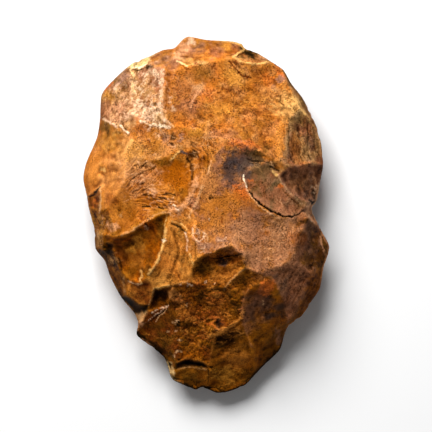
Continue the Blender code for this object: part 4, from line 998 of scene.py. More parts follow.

# Fine lines, some of them painted shadow or highlight beside a ridge: the points along them, half width,
# height (below 0 for a crack), colour and strength.
MARKS = (
    # crescent crack round the clinging flake, and the pale chips along it
    (((16.2, 8.6), (18, 6.1), (21, 3.5), (25, 1.1), (29, -0.5), (32.2, -0.8)), 0.42, -1.3, "black brown",
     1.3),
    (((32.2, -0.8), (33.6, 0), (34.6, 0), (36.4, 1.6)), 0.32, -0.7, "black brown", 1),
    (((14.1, 14.4), (14.5, 12.2), (15.4, 10.2)), 0.3, 0.15, "white", 1.2),
    (((15.4, 9.6), (17, 6.6), (20.3, 3), (24.5, 0.1), (27.6, -1.2)), 0.28, 0.15, "pale tan", 1.1),
    (((15.6, 20.8), (18, 20), (20.6, 20), (23.6, 19.6)), 0.28, -0.25, "black brown", 0.9),
    (((16.8, 17), (18.4, 18), (20, 17.4), (20.6, 16)), 0.3, 0.1, "tan", 0.7),
    # crown and shoulder
    (((-10.5, 57.6), (-8.6, 56.6), (-7, 55.6)), 0.36, 0.15, "cream", 1),
    (((-9.3, 56.5), (-8, 55.3), (-7.2, 54.6)), 0.28, -0.2, "brown", 0.9),
    (((-9, 59.6), (-6, 59.4), (-4.5, 59)), 0.4, -0.1, "red brown", 0.4),
    (((15, 63), (13.6, 61.6), (11.6, 60.2), (10.4, 59.2)), 0.42, 0.2, "pale yellow", 1.1),
    (((14.3, 61), (12.4, 60.2), (11.2, 59)), 0.3, -0.15, "brown", 0.9),
    # The pale yellow along the crown chip's lower rim is partly a painted highlight.
    (((10.6, 59.3), (12.6, 57.8), (15, 57), (18, 56.6), (21, 57), (24, 57.9)), 0.46, 0.2, "pale yellow",
     1.1),
    (((-6.5, 56), (-3, 56.1), (1, 56.9)), 0.35, 0.1, "pale yellow", 0.5),
    (((10.6, 64.9), (13.4, 64.1), (14.6, 63.2)), 0.5, 0, "pale yellow", 0.8),
    (((10, 64.3), (11.5, 63.2)), 0.3, -0.1, "brown", 0.8),
    # cortex
    (((-16, 54), (-16.8, 50), (-16.2, 46), (-17.2, 42), (-16.2, 38), (-15, 34.5)), 0.9, 0.1,
     "pinkish white", 0.8),
    (((-24, 34.8), (-20, 33.6), (-16, 33.2), (-13.4, 32.4)), 0.65, 0.15, "white", 1.1),
    (((-32, 33.6), (-30.6, 32), (-28.6, 30.6)), 0.38, 0.15, "white", 1.1),
    (((-30.8, 33.8), (-29.6, 31.9)), 0.3, -0.2, "brown", 1),
    (((-38.4, 36.4), (-36, 34.8), (-33, 33)), 0.42, 0.1, "pinkish white", 1),
    (((-28.2, 54.5), (-27.3, 53), (-26.9, 51.8)), 0.5, 0.1, "cream", 1),
    (((-27.4, 49.6), (-27.2, 47.6), (-26.9, 46)), 0.6, 0.1, "cream", 0.8),
    (((-27.3, 54.8), (-25, 54.6), (-22.6, 55.2)), 0.32, -0.2, "dark brown", 1),
    # The white line along the cream spot's lower edge is a painted highlight.
    (((-28.4, 56), (-26, 55.5), (-23.5, 55.9), (-22, 56.8)), 0.3, 0.1, "white", 0.9),
    (((-38, 47.3), (-36.3, 48.9), (-35, 50)), 0.5, 0, "red orange", 0.9),
    # central scar and its right border
    # The red brown lines along the central scar's top edge are painted shadow below the crown chip's rim.
    (((9, 57.4), (10.6, 55.6), (12.6, 53.4)), 0.55, -0.2, "red brown", 1.2),
    (((12.6, 53), (14.5, 51.8), (17, 51.4)), 0.6, -0.1, "red brown", 1),
    (((-2.6, 46), (-4.6, 42.8), (-5.4, 40.2)), 0.6, 0.1, "pink tan", 0.9),
    (((-15, 36.2), (-13, 34.2), (-11.6, 32.4)), 0.35, 0.1, "pale tan", 0.9),
    (((28.4, 45), (28, 42.6), (29.4, 41)), 0.26, -0.1, "brown", 0.9),
    (((35.4, 40.3), (37.6, 37.6), (40.8, 33.8)), 0.42, 0.15, "pale yellow", 1.1),
    (((30, 53.6), (32, 50), (35, 46), (37.5, 42.5)), 0.5, 0, "olive brown", 0.9),
    (((39.9, 37.2), (40.8, 35), (41.2, 33.8)), 0.5, 0, "black brown", 0.9),
    (((31.5, 44.2), (35, 42.4)), 0.3, 0.1, "pale yellow", 0.9),
    # upper right facet, and the ridges below it
    (((30.2, 33), (30, 27), (30.6, 22.5)), 0.5, 0.15, "tan", 0.8),
    (((31.2, 33), (31, 27), (31.8, 20.5)), 0.3, -0.1, "dark brown", 0.8),
    (((36.2, 32), (36.2, 25), (37, 20.5)), 0.36, 0.1, "tan", 0.5),
    (((38.4, 32), (38.4, 26), (39.2, 21)), 0.3, -0.1, "black brown", 0.6),
    (((32, 19.6), (36, 19.2), (40, 20), (44, 19.8)), 0.45, 0.1, "red orange", 0.35),
    (((24, 20), (27, 15), (28.6, 11.8), (31.6, 8), (35, 5), (38.5, 3)), 0.34, 0.1, "pale tan", 0.55),
    (((27.6, 11.6), (30, 8), (33.5, 4.8), (36.5, 2.6)), 0.25, -0.1, "brown", 0.7),
    (((24, 18.2), (25.5, 17.4), (27.2, 16.4)), 0.42, -0.2, "black brown", 0.9),
    (((25, 16.4), (26.4, 14.8)), 0.5, 0.1, "pale yellow", 1),
    (((43.2, -8.2), (44.2, -12), (45.2, -15)), 0.36, 0.15, "pink tan", 1),
    (((38.8, 5.6), (41, 4.6), (42.8, 5)), 0.5, -0.2, "black brown", 1.1),
    # rippled bowl, and the ridge round it
    # The dark brown line down the bowl's right rim is partly painted shade.
    (((-6.4, 20.6), (-5.2, 18.5), (-4.7, 16), (-4.9, 13.4)), 0.7, -0.3, "dark brown", 0.7),
    (((-13, 20.6), (-11.4, 21.8), (-9.8, 23.6)), 0.5, 0.1, "pale yellow", 0.9),
    (((-23.6, 3), (-22, 3.4), (-20.6, 3.2)), 0.34, -0.3, "dark brown", 1),
    (((-17.4, 6.4), (-14.6, 6)), 0.34, -0.3, "dark brown", 0.9),
    (((-15.4, 7.9), (-12.8, 8), (-11, 7.1)), 0.3, -0.3, "dark brown", 1),
    (((-22.8, 7.7), (-20.6, 7.2), (-19, 6.3)), 0.3, -0.3, "brown", 1),
    (((-18.4, 4), (-16.6, 2.8), (-15.6, 2.2)), 0.3, -0.3, "dark brown", 1),
    (((-24.6, 11), (-22.6, 12.4)), 0.34, -0.3, "dark brown", 0.8),
    (((-27, 13.4), (-25, 15), (-23, 15.6)), 0.32, -0.3, "brown", 1),
    (((-20.6, 16.6), (-18.4, 18)), 0.3, -0.25, "brown", 1),
    (((-24.4, 17.6), (-22, 19.4)), 0.3, -0.25, "brown", 1),
    (((-3, 13.4), (-4.4, 9), (-6.2, 5.6), (-9, 2.8), (-12.5, 1.4)), 1.5, 0.35, "pink tan", 0.9),
    (((-1.2, 11), (-2.6, 6.5), (-4.6, 2), (-6, -0.5)), 0.7, 0.1, "pale tan", 0.6),
    (((-12, 3.8), (-9.4, 1.4)), 0.4, 0.1, "white", 0.7),
    (((2.6, 20.4), (1.6, 18), (0.6, 15)), 0.36, 0.15, "pale tan", 1),
    (((-1, 25.2), (0.6, 22.6), (1.2, 19.5), (0.6, 16.6)), 0.26, -0.15, "brown", 0.9),
    (((-4, 27), (0, 25.9), (4, 24), (6.5, 21)), 0.3, 0.1, "tan", 0.6),
    # left edge and the foot of the bulge
    (((-44.4, 6.6), (-42, 7.8), (-39.6, 10.4)), 0.5, -0.6, "black brown", 1.1),
    (((-39.3, 10), (-39.2, 6), (-39.3, 2), (-39.8, 0.8)), 0.45, 0.2, "pale tan", 0.8),
    (((-42, 1), (-40.6, -1.6), (-39.6, -3)), 0.3, -0.15, "dark brown", 1),
    (((-38.4, 0), (-38.6, -3.6)), 0.3, 0.1, "pink tan", 0.8),
    # The pale tan line along the bulge's lower ridge is a painted highlight, and the black brown line below
    # it painted shadow.
    (((-31, -7.4), (-27, -5.6), (-22, -2.1), (-18.4, 0.2), (-14.6, 1.4)), 0.5, 0, "pale tan", 0.4),
    (((-33, -8.9), (-30.4, -9), (-27, -7.4), (-24, -5.2)), 0.7, 0, "black brown", 0.8),
    (((-41.4, -5), (-40.4, -8.4), (-40.6, -11.4)), 0.6, 0, "tan", 0.8),
    # left flank
    (((-37, -9.6), (-34, -10.9), (-31, -11.4)), 0.6, 0.2, "red brown", 0.9),
    (((-14.2, 0), (-14.9, -3), (-15.2, -6.4)), 0.35, 0.1, "pale yellow", 0.9),
    (((-14.6, -5), (-15.2, -10), (-16.2, -12.6), (-17.2, -16), (-18.8, -18.8), (-21, -21.8)), 0.6, 0.3,
     "pale yellow", 0.8),
    (((-14.8, -8.8), (-16, -9.2), (-15.2, -10.2)), 0.3, 0.1, "white", 0.9),
    (((-15.6, -11.4), (-16.6, -13.4)), 0.3, 0.1, "pale yellow", 1),
    (((-17, -15.2), (-17.9, -17.6)), 0.26, 0.1, "pale yellow", 1),
    (((-18.9, -19.6), (-20.4, -21.6), (-21.6, -22.2)), 0.4, 0.1, "pale yellow", 1),
    (((-24.2, -20.6), (-23.6, -22.6), (-24.4, -24), (-23.7, -25.6)), 0.55, 0.25, "pale yellow", 1),
    (((-29, -24.6), (-27.4, -25.6), (-25.6, -26), (-23.8, -25.8)), 0.34, 0.15, "pale tan", 1),
    (((-30.6, -23), (-31, -25.4), (-30.4, -29)), 0.36, 0.15, "tan", 0.8),
    (((-32.6, -16), (-31.8, -18.6), (-31.4, -20.6)), 0.5, -0.1, "black brown", 0.8),
    (((-12.6, -3.2), (-9.6, -4.2), (-7.4, -6.4)), 0.42, -0.2, "olive dark", 0.9),
    (((-12.4, -2.2), (-9, -3.2), (-6.8, -5.4)), 0.3, 0.1, "pale yellow", 0.8),
    (((-7.4, -6.6), (-6.8, -9), (-6.6, -11.5), (-6.8, -13)), 0.34, 0.15, "pinkish white", 0.9),
    (((-6, -13.6), (-5.2, -16), (-4.4, -18.5)), 0.28, 0.1, "pale yellow", 0.9),
    (((-3.8, -9.6), (-3.4, -13), (-3.9, -16.4)), 0.3, -0.15, "brown", 0.7),
    (((-13.4, -6), (-11.8, -11), (-12.4, -17), (-15.2, -23.6)), 0.9, 0.1, "bright orange", 0.6),
    (((-12.6, -5), (-10.2, -9), (-9.9, -14), (-11.6, -19.6), (-13.4, -23.4)), 0.6, -0.1, "brown", 0.5),
    (((-9.8, -6), (-8, -10), (-7.9, -14), (-9.2, -20)), 0.9, 0, "olive brown", 0.5),
    (((-19.4, -27.6), (-16.6, -27), (-13.4, -26.2)), 0.34, 0.1, "pale yellow", 0.8),
    (((-10.4, -25.5), (-8, -25), (-5.4, -23.6)), 0.3, 0.1, "tan", 0.7),
    (((-4.8, -4.6), (-4.4, -7), (-3.4, -9.2), (-2, -9.8), (-0.9, -8.8), (-0.5, -6.4)), 0.26, 0.1,
     "pinkish white", 0.9),
    (((-0.2, -5.6), (0.6, -7.6), (1, -9)), 0.3, 0.1, "pale tan", 0.8),
    (((5, -9.4), (6.6, -9), (8, -8)), 0.36, 0.1, "pinkish white", 0.7),
    (((-19.2, -27.8), (-19.9, -30.8), (-21.2, -33.6)), 0.35, 0.1, "tan", 0.7),
    # parallel chips on the lower left
    (((-21.2, -38.6), (-17.6, -36.2), (-14, -34.2)), 0.7, 0, "red brown", 1),
    (((-20.4, -36.9), (-17.2, -34.9), (-13.9, -33.9)), 0.18, 0.15, "pinkish white", 1.2),
    (((-21.8, -39.8), (-18.4, -37.2), (-14.4, -34.4)), 0.18, 0.15, "pinkish white", 1.2),
    (((-18.9, -40), (-17.2, -38), (-14.6, -35.4)), 0.18, 0.15, "pale tan", 1.1),
    (((-20.6, -40), (-18, -37.8), (-15.4, -35.8)), 0.28, -0.2, "black brown", 0.9),
    # narrow end
    (((-22.4, -44.6), (-18, -46.2), (-14, -47), (-11, -46.4)), 0.42, 0.1, "orange", 0.6),
    (((-13.3, -56), (-12.8, -58), (-12.2, -60.4)), 0.9, 0, "cream", 0.8),
    # The black brown bands along the narrow end's edge are partly painted shade where the edge turns under,
    # and partly dark chips.
    (((-26, -44.6), (-22, -48.4), (-16.4, -53.2), (-14.2, -57)), 1.5, -0.05, "black brown", 1),
    (((-12.8, -61.6), (-9, -63.8), (-4, -66), (-0.5, -65.6), (5.3, -67.4), (10, -66.4)), 1.3, -0.05,
     "black brown", 1),
    (((10, -66.4), (14.5, -64.6), (19, -60.3), (22.3, -56.8), (28, -51)), 1.2, -0.05, "black brown", 0.85),
    (((46, -10.5), (43.6, -7), (43.2, -10), (45, -13.4)), 0.3, 0.1, "pink tan", 0.8),
    (((45.6, -12.6), (43.6, -19.6), (42.4, -27), (39.4, -32)), 0.6, 0, "dark brown", 0.7),
    (((-11, -55.6), (-8.6, -54.3), (-5.6, -53.9), (-2, -54.9), (1, -56.2)), 0.36, 0.15, "orange", 0.8),
    (((-10.6, -58.3), (-8, -57.5), (-5, -57.4), (-2, -58), (0.6, -58.1)), 0.3, 0.1, "tan", 0.7),
    (((-1, -56.9), (2.6, -57.5)), 0.36, -0.4, "black brown", 1.1),
    # The bright orange along the ridge above the end scar is partly a painted highlight.
    (((1.6, -45.2), (4, -44.8), (7, -43.2), (10, -41), (12.8, -39), (14, -36)), 0.9, 0.35, "bright orange",
     1.1),
    (((3.6, -46), (2.6, -50), (1.8, -54), (1, -57)), 0.5, 0.1, "orange", 0.6),
    (((1, -58), (1.2, -61), (0.6, -65)), 0.3, -0.15, "black brown", 0.8),
    (((16, -27.4), (14.6, -31), (13.6, -35), (14.6, -40), (15.6, -45), (17.4, -49.6)), 0.5, 0.1,
     "pink brown", 0.4),
    (((15.2, -19.8), (12.8, -21), (9, -24.4), (7, -27.6)), 0.42, 0.15, "tan", 0.9),
    (((15, -19.6), (20, -21.2), (25, -23.6), (27, -26), (28, -29)), 0.42, 0.1, "pink brown", 0.6),
    (((17.4, -26.6), (20, -24.8), (23.4, -23.6)), 0.4, 0, "orange brown", 0.7),
    (((3, -16), (7, -15.6), (10, -15), (13.4, -14.4)), 0.3, -0.3, "black brown", 1),
)

# How much the streaks lighten the colour along their crests and darken it between them, and how the shade
# painted into hollows, small and wide, darkens them: the depth that counts as full, how much it darkens, and
# the least hollow that counts, which is a crest and is painted lighter.
STREAK_SHADE = 0.6
HOLLOW_SHADES = ((0.12, 0.42, -0.6), (0.9, 0.30, -0.5))

# The darkest and brightest of the painted shade and grain, and how strongly it tells on red, green and blue.
SHADE_LIMITS = (0.12, 1.7)
SHADE_TINT = (0.85, 1.0, 1.2)


def linear(colour):
    """A palette colour as the linear light that shaders use."""
    share = np.array(PALETTE[colour]) / 255
    return np.where(share <= 0.04045, share / 12.92, ((share + 0.055) / 1.055) ** 2.4)


def laid_on(colours, share, colour):
    """The colours with one more laid on, by share at each point."""
    share = np.clip(share, 0, 1)[:, None]
    return colours * (1 - share) + linear(colour) * share


def scar_paint(points, scar_names, scar_of, links):
    """Each scar's main colour with its blotches, blended a little where scars meet, and its flecks."""
    table = [SCAR_COLOURS[name] for name in scar_names]
    main, blotch, fleck = (np.array([linear(row[column]) for row in table])[scar_of] for column in range(3))
    flowing = strayed(points, 2.2, 6.0, 107)
    amount = ease(fractal(flowing, 5.0, 101, 4, 0.65), -0.35, 0.55)[:, None]
    colours = rubbed(main * (1 - amount) + blotch * amount, links, COLOUR_BLEND_ROUNDS)
    warmth = noise(flowing, 7.0, 105)[:, None] * (0.10, -0.06, -0.20)
    mottles = fractal(flowing, 3.4, 106, 3, 0.6)[:, None] * (0.12, 0.20, 0.32)
    colours = colours * (1 + warmth + mottles)

    limit = 0.80 - 0.35 * np.array([row[3] for row in table])[scar_of]
    clustered = noise(strayed(points, 0.8, 2.0, 153), 1.0, 151) + 0.8 * noise(points, 4.0, 152)
    share = ease(clustered, limit, limit + 0.3)[:, None] * 0.85
    return colours * (1 - share) + fleck * share


def patch_share(level, middle, half_sizes, heading, uneven):
    """How much of a patch lies at each point, from 0 to 1: crisp if it is small, and soft if it is broad."""
    away = away_from(level, middle, half_sizes, heading)
    softness = 0.35 if min(half_sizes) < 1.5 else 0.5
    return 1 - ease(away + softness * uneven, 1 - softness, 1 + softness)


def patch_paint(level, colours, uneven, patches):
    """The colours with the patches laid on, one after another."""
    for middle, half_sizes, heading, colour, strength in patches:
        share = patch_share(level, middle, half_sizes, heading, uneven)
        colours = laid_on(colours, strength * share, colour)
    return colours


def lace_paint(level, colours, uneven, patches):
    """The colours with the lace's crests laid on, and the relief of those crests."""
    relief = np.zeros(len(level))
    for middle, half_sizes, heading, size, colour, strength in patches:
        share = patch_share(level, middle, half_sizes, heading, uneven)
        here = share > 0
        share[here] *= lace(in_patch(level[here], middle, (LACE_STRETCH, 1), heading), size)
        colours = laid_on(colours, strength * share, colour)
        relief = np.maximum(relief, 0.2 * share)
    return colours, relief


def mark_paint(level, colours, uneven):
    """The colours with the fine lines laid on, and the relief of those lines."""
    relief = np.zeros(len(level))
    broken = 0.40 + 0.40 * ease(noise(level, 1.4, 161), -0.35, 0.25)
    for line, half_width, height, colour, strength in MARKS:
        reach = mark_reach(level, line, half_width, uneven)
        relief += height * reach
        if height >= 0:
            reach = reach * broken
        colours = laid_on(colours, strength * reach, colour)
    return colours, relief


def edge_paint(level, inset, colours):
    """The colours with a thin painted highlight or shade on the edge, broken where weak, whole where strong.
    """
    for middle, reach, colour, strength in EDGE_HIGHLIGHT_AND_SHADE_RUNS:
        run = run_share(level, middle, reach)
        broken = ease(noise(level, 2.2, 321) + 0.5 * noise(level, 0.8, 322), -0.25, 0.25)
        broken = np.maximum(broken, strength - 0.5)
        colours = laid_on(colours, strength * run * broken * (1 - ease(inset, 0.2, 0.8)), colour)
    return colours


def painted_shade_and_grain(points, colours, hollows, lines):
    """Painted shade in hollows, darker and browner, painted highlight on crests, and uneven grain."""
    busy = 0.7 + 0.6 * noise(points, 6.0, 174)
    flowing = strayed(points, 1.2, 3.5, 176)
    fine = 0.17 * noise(points, 0.8, 171) + 0.20 * noise(flowing, 1.7, 172)
    grain = busy * (fine + 0.18 * noise(flowing, 3.4, 175)) + 0.10 * noise(points, 6.5, 173)
    shade = 1 + grain + STREAK_SHADE * lines
    # Painted shade in the hollows, and painted highlight on the crests.
    for hollow, (full_depth, darkening, crest) in zip(hollows, HOLLOW_SHADES):
        shade = shade - darkening * np.clip(hollow / full_depth, crest, 1)
    shade = np.clip(shade, *SHADE_LIMITS)[:, None]
    return np.clip(colours * shade**SHADE_TINT, 0, 1)


# ---------------------------------------------------------------- mesh


def lattice(rim, spacing):
    """Even triangular lattice places inside the rim, with each place's distance to the rim."""
    rows = np.arange(-LATTICE_HALF_LENGTH, LATTICE_HALF_LENGTH, spacing * np.sqrt(3) / 2)
    columns = np.arange(-LATTICE_HALF_WIDTH, LATTICE_HALF_WIDTH, spacing)
    across, along = np.meshgrid(columns, rows)
    across = across + spacing / 2 * (np.arange(len(rows)) % 2)[:, None]
    points = np.column_stack([across.ravel(), along.ravel()])
    points = points[is_inside(points, rim)]
    inset = distance_to(points, rim, closed=True)
    clear = inset > 0.5 * spacing
    return points[clear], inset[clear]


def triangles_between(rim_count, points):
    """Triangles over plan points whose first rim_count are the closed rim."""
    border = [(place, (place + 1) % rim_count) for place in range(rim_count)]
    inside_only = 1
    merge_within = 1e-6
    made = delaunay_2d_cdt([Vector(point[:2]) for point in points], border, [], inside_only, merge_within)
    kept = np.array([sources[0] for sources in made[3]])
    return kept[np.array(made[2])]


def links_of(triangles):
    """Each pair of neighbouring vertices, once."""
    links = np.concatenate([triangles[:, [0, 1]], triangles[:, [1, 2]], triangles[:, [2, 0]]])
    return np.unique(np.sort(links, axis=1), axis=0)


def rubbed(values, links, rounds, fixed=None):
    """Values at the vertices, each moved half way to its neighbours' mean, so many times."""
    count = len(values)
    first, second = links.T
    number = np.bincount(links.ravel(), minlength=count)
    columns = values.reshape(count, -1).T
    for _ in range(rounds):
        total = np.array([
            np.bincount(first, column[second], count) + np.bincount(second, column[first], count)
            for column in columns
        ])
        smoothed = 0.5 * columns + 0.5 * total / number
        columns = smoothed if fixed is None else np.where(fixed, columns, smoothed)
    return columns.T.reshape(values.shape)


def nearest_scar(triangles, scar_of):
    """Gives each rim vertex the scar of a neighbour."""
    scar_of = scar_of.copy()
    for _ in range(3):
        for a, b in ((0, 1), (1, 2), (2, 0), (1, 0), (2, 1), (0, 2)):
            first, second = triangles[:, a], triangles[:, b]
            bare = (scar_of[first] < 0) & (scar_of[second] >= 0)
            scar_of[first[bare]] = scar_of[second[bare]]
    return scar_of


def gentle(points, triangles):
    """How far from steep the surface is at each point: 1 where it is level, and less as it steepens."""
    first, second, third = (points[triangles[:, corner]] for corner in range(3))
    facing = np.cross(second - first, third - first)
    total = np.zeros((len(points), 3))
    for corner in range(3):
        for axis in range(3):
            total[:, axis] += np.bincount(triangles[:, corner], facing[:, axis], len(points))
    upright = np.abs(total[:, 2]) / np.maximum(np.linalg.norm(total, axis=1), 1e-9)
    return 0.55 + 0.45 * ease(upright, 0.2, 0.7)


class Face:
    """One face of the stone, from the form that the blows left to its worn and coloured surface.

    Its points start with the rim's. inward is -1 where scars are hollowed downwards, and 1 on the underside.
    """

    def __init__(self, rim, places, spacing, scars, ridges, inward):
        spots, inset = lattice(rim, spacing)
        self.names = list(scars)
        self.inward = inward
        self.borders = [scar_border(corners, ridges, rim, places) for corners, _ in scars.values()]
        rises = [inward * depth for _, depth in scars.values()]
        form, scar_of, share_of = face_form(spots, inset, self.borders, rises)
        self.points = np.concatenate([rim, np.column_stack([spots, form])])
        self.triangles = triangles_between(len(rim), self.points)
        self.links = links_of(self.triangles)
        self.on_rim = np.arange(len(self.points)) < len(rim)
        self.inset = np.concatenate([np.zeros(len(rim)), inset])
        self.share = np.concatenate([np.zeros(len(rim)), share_of])
        self.owner = nearest_scar(self.triangles, np.concatenate([np.full(len(rim), -1), scar_of]))

    def wear_down(self, wear, rounds):
        """Rubs the ridges round, lightly where wear is 0 and much where it is 1."""
        crisp, worn = (rubbed(self.points[:, 2], self.links, count, self.on_rim) for count in rounds)
        self.points[:, 2] = crisp + wear * (worn - crisp)

    def paint(self, level, stray, patches, laces):
        """The colours by scar, fleck, patch and lace, the lace's relief, and how uneven they all are."""
        uneven = fractal(level, 3.0, 181, 4, 0.7)
        painted = scar_at(strayed(level, *stray, 201), self.borders, self.owner)
        colours = scar_paint(level, self.names, painted, self.links)
        colours = patch_paint(strayed(level, 1.2, 3.2, 221), colours, uneven, patches)
        colours, relief = lace_paint(level, colours, uneven, laces)
        return colours, relief, uneven

    def hollows(self, rounds, fade):
        """How far each point lies inward of the surface round it, near and wide, and less by the rim."""
        height = self.points[:, 2]
        return [self.inward * (height - rubbed(height, self.links, count)) * fade for count in rounds]


def upper_face(rim, places):
    """The upper face's points, triangles and paint, whose alpha says how many specks the shader adds."""
    face = Face(rim, places, UPPER_SPACING, UPPER_SCARS, UPPER_RIDGES, -1)
    level = flat(face.points)
    face.wear_down(wear_share(level), UPPER_WEAR_ROUNDS)
    form = face.points.copy()

    colours, relief, uneven = face.paint(form, UPPER_COLOUR_STRAY, PATCHES, LACE)
    colours, mark_heights = mark_paint(strayed(form, 0.3, 1.8, 231), colours, uneven)
    colours = edge_paint(form, face.inset, colours)

    rough_pitted = np.array([ROUGHNESS.get(name, (1, 1)) for name in face.names])[face.owner]
    roughness, pitting = rubbed(rough_pitted, face.links, ROUGHNESS_BLEND_ROUNDS).T
    crusted = np.array([CRUSTED.get(name, 0) for name in face.names])[face.owner]
    lines = streaks(form)
    relief += mark_heights + ripple_relief(form, face.names, face.owner, face.share)
    relief += wrinkle_relief(level) + dent_relief(level)
    relief += STREAK_HEIGHT * lines
    relief += crust_relief(form, rubbed(crusted, face.links, CRUST_BLEND_ROUNDS))
    relief += grain_relief(form, roughness, 111)
    relief -= PIT_DEPTH * pits(form, pitting)
    fade = ease(face.inset, 0.0, UPPER_RIM_FADE)
    face.points[:, 2] += relief * fade * gentle(form, face.triangles)

    colours = painted_shade_and_grain(face.points, colours, face.hollows(UPPER_HOLLOW_ROUNDS, fade), lines)
    specks = np.clip(0.75 * pitting + 0.9 * noise(face.points, 4.0, 191), 0, MOST_SPECKS)
    return face.points, face.triangles, np.column_stack([colours, specks])


def under_face(rim, places):
    """The underside's points, triangles and paint, as upper_face gives them."""
    face = Face(rim, places, UNDERSIDE_SPACING, UNDERSIDE_SCARS, UNDERSIDE_RIDGES, 1)

    # The two faces share their plan, so the underside's noise is taken from another level.
    level = flat(face.points) + (0, 0, UNDERSIDE_LEVEL)
    face.wear_down(ease(noise(level, 12.0, 243), -0.3, 0.5), UNDERSIDE_WEAR_ROUNDS)

    colours, relief, _ = face.paint(level, UNDERSIDE_COLOUR_STRAY, UNDERSIDE_PATCHES, UNDERSIDE_LACE)
    colours = edge_paint(level, face.inset, colours)

    ripples = ripple_relief(level, face.names, face.owner, face.share)
    relief += ripples + crust_relief(level, UNDERSIDE_CRUST + 2 * relief)
    relief += UNDERSIDE_ROUGHNESS * grain_relief(level, 1, 131)
    relief -= UNDERSIDE_PIT_DEPTH * pits(level, UNDERSIDE_PITTING)
    fade = ease(face.inset, 0.0, UNDERSIDE_RIM_FADE)
    raised = 0.6 + 0.4 * ease(face.points[:, 2], 0.0, 2.0)
    face.points[:, 2] = np.maximum(face.points[:, 2] - relief * fade * raised, 0)

    colours = painted_shade_and_grain(level, colours, face.hollows(UNDERSIDE_HOLLOW_ROUNDS, fade), 0)
    specks = np.clip(1.0 + 0.8 * noise(level, 5.0, 191), 0, MOST_SPECKS)
    return face.points, face.triangles, np.column_stack([colours, specks])


def bake_map(mesh, place, triangles, upper_count):
    """Lays the two faces out flat, side by side, in a square texture map."""
    layer = mesh.uv_layers.new(name="OFBake")
    low = place.min(axis=0)
    width, length = place.max(axis=0) - low
    upper_scale = (1 - 2 * BAKE_GAP) / length
    upper_width = width * upper_scale
    lower_scale = (1 - 3 * BAKE_GAP - upper_width) / width
    spots = place[triangles] - low
    spots[:upper_count] = spots[:upper_count] * upper_scale + BAKE_GAP
    spots[upper_count:] = spots[upper_count:] * lower_scale + (2 * BAKE_GAP + upper_width, BAKE_GAP)
    layer.data.foreach_set("uv", spots.astype(np.float32).ravel())


def fitted(points):
    """The drawn points in metres, centred in the solid part's box and as large as it allows."""
    low, high = points.min(axis=0), points.max(axis=0)
    box_low, box_high = np.array(cad_box[0]), np.array(cad_box[1])
    unit = ((box_high - box_low)[:2] / (high - low)[:2]).min()
    place = (points[:, :2] - (low + high)[:2] / 2) * unit + (box_low + box_high)[:2] / 2
    return np.column_stack([place, np.minimum(points[:, 2] * unit, box_high[2])])


def build_stone():
    """The stone as one mesh, with its paint, fitted into the solid part's box."""
    outline, places = rim_outline()
    rim = chipped(np.column_stack([outline, rim_heights(outline)]))
    upper, upper_triangles, upper_paint = upper_face(rim, places)
    lower, lower_triangles, lower_paint = under_face(rim, places)

    # The faces share the rim's points, so the lower face's own points follow the upper face's.
    count = len(rim)
    shift = len(upper) - count
    turned_over = lower_triangles[:, ::-1]
    turned_over = np.where(turned_over < count, turned_over, turned_over + shift)
    points = fitted(np.concatenate([upper, lower[count:]]))
    paint = np.concatenate([upper_paint, lower_paint[count:]])
    triangles = np.concatenate([upper_triangles, turned_over])

    mesh = bpy.data.meshes.new("stone")
    mesh.from_pydata(points.tolist(), [], triangles.tolist())
    # The colour attribute holds the stone's colours together with painted shade, shadow and highlights.
    attribute = mesh.color_attributes.new("stone_colour_and_painted_shade", "FLOAT_COLOR", "POINT")
    attribute.data.foreach_set("color", paint.astype(np.float32).ravel())
    bake_map(mesh, points[:, :2], triangles, len(upper_triangles))
    mesh.shade_smooth()
    mesh.update()
    stone = bpy.data.objects.new("stone", mesh)
    bpy.context.scene.collection.objects.link(stone)
    return stone


# ---------------------------------------------------------------- finish and room


def added(tree, kind, output, settings, operation=None):
    """One output of a new shader node, whose inputs are set to numbers or joined to other nodes' outputs."""
    node = tree.nodes.new(kind)
    if operation:
        node.operation = operation
    for name, value in settings.items():
        if isinstance(value, bpy.types.NodeSocket):
            tree.links.new(value, node.inputs[name])
        else:
            node.inputs[name].default_value = value
    return node.outputs[output]


def calculated(tree, operation, *values):
    """The result of a shader calculation."""
    return added(tree, "ShaderNodeMath", "Value", dict(enumerate(values)), operation)


def remapped(tree, value, start, end, value_at_start, value_at_end):
    """A shader value brought from one range to another, and no further than its ends."""
    ends = {"From Min": start, "From Max": end, "To Min": value_at_start, "To Max": value_at_end}
    return added(tree, "ShaderNodeMapRange", "Result", {"Value": value, **ends})


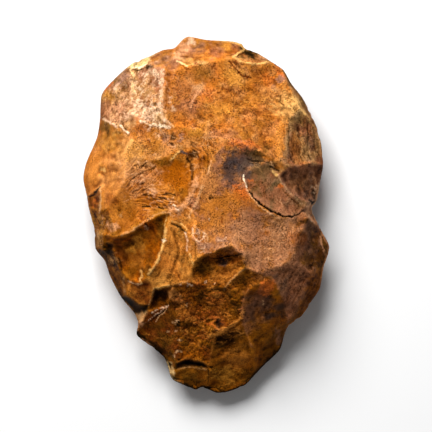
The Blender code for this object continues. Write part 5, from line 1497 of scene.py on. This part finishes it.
def stone_material():
    """Patinated flint: laid-on colours with painted shade and highlights, fine grain, specks and fine bumps.
    """
    material = bpy.data.materials.new("patinated flint")
    material.use_nodes = True
    tree = material.node_tree
    place = tree.nodes.new("ShaderNodeTexCoord").outputs["Object"]
    paint = tree.nodes.new("ShaderNodeAttribute")
    paint.attribute_name = "stone_colour_and_painted_shade"
    grain_noise = {"Vector": place, "Scale": GRAIN_SCALE, "Detail": 3, "Roughness": 0.65}
    grain = added(tree, "ShaderNodeTexNoise", "Fac", grain_noise)
    speck_noise = {"Vector": place, "Scale": SPECK_SCALE, "Detail": 2}
    specks = added(tree, "ShaderNodeTexNoise", "Fac", speck_noise)

    # The paint's alpha says how many specks there are, the dark ones at high noise and the pale ones at low.
    thickness = paint.outputs["Alpha"]
    high = calculated(tree, "MULTIPLY_ADD", thickness, MORE_DARK_SPECKS, specks)
    low = calculated(tree, "MULTIPLY_ADD", thickness, MORE_PALE_SPECKS, specks)
    dark = remapped(tree, high, *DARK_SPECKS)
    pale = remapped(tree, low, *PALE_SPECKS)
    speckled = calculated(tree, "MULTIPLY", pale, dark)
    shade = calculated(tree, "MULTIPLY", remapped(tree, grain, *GRAIN_SHADE), speckled)
    shaded = {0: paint.outputs["Color"], "Scale": shade}
    bumps = {"Height": grain, "Strength": BUMP_STRENGTH, "Distance": BUMP_HEIGHT}

    colour = added(tree, "ShaderNodeVectorMath", "Vector", shaded, "SCALE")

    shader = tree.nodes["Principled BSDF"]
    tree.links.new(colour, shader.inputs["Base Color"])
    tree.links.new(remapped(tree, grain, *GRAIN_DULLNESS), shader.inputs["Roughness"])
    tree.links.new(added(tree, "ShaderNodeBump", "Normal", bumps), shader.inputs["Normal"])
    shader.inputs["Specular IOR Level"].default_value = SPECULAR
    return material


def studio():
    """A pale floor in a pale room, one soft lamp above the broad end, and the camera overhead."""
    scene = bpy.context.scene
    scene.view_settings.view_transform = "Standard"
    world = bpy.data.worlds.new("pale room")
    world.use_nodes = True
    background = world.node_tree.nodes["Background"]
    background.inputs["Color"].default_value = (1, 1, 1, 1)
    background.inputs["Strength"].default_value = WORLD_LIGHT
    scene.world = world

    bpy.ops.mesh.primitive_plane_add(size=FLOOR_SIZE)
    floor = bpy.context.object
    floor.name = "floor"
    pale = bpy.data.materials.new("pale floor")
    pale.use_nodes = True
    shader = pale.node_tree.nodes["Principled BSDF"]
    shader.inputs["Base Color"].default_value = (FLOOR_GREY, FLOOR_GREY, FLOOR_GREY, 1)
    shader.inputs["Roughness"].default_value = FLOOR_ROUGHNESS
    floor.data.materials.append(pale)

    light = bpy.data.lights.new("key", "AREA")
    light.energy = KEY_LIGHT_POWER
    light.size = KEY_LIGHT_SIZE
    lamp = bpy.data.objects.new("key", light)
    lamp.location = KEY_LIGHT_PLACE
    lamp.rotation_euler = (-Vector(KEY_LIGHT_PLACE)).to_track_quat("-Z", "Y").to_euler()
    scene.collection.objects.link(lamp)

    camera = bpy.data.cameras.new("camera")
    camera.lens = CAMERA_LENS
    camera.sensor_width = CAMERA_SENSOR
    eye = bpy.data.objects.new("camera", camera)
    eye.location = CAMERA_PLACE
    scene.collection.objects.link(eye)
    scene.camera = eye


stone = build_stone()
stone.data.materials.append(stone_material())
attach(stone, "root")
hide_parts("hand_axe")
studio()
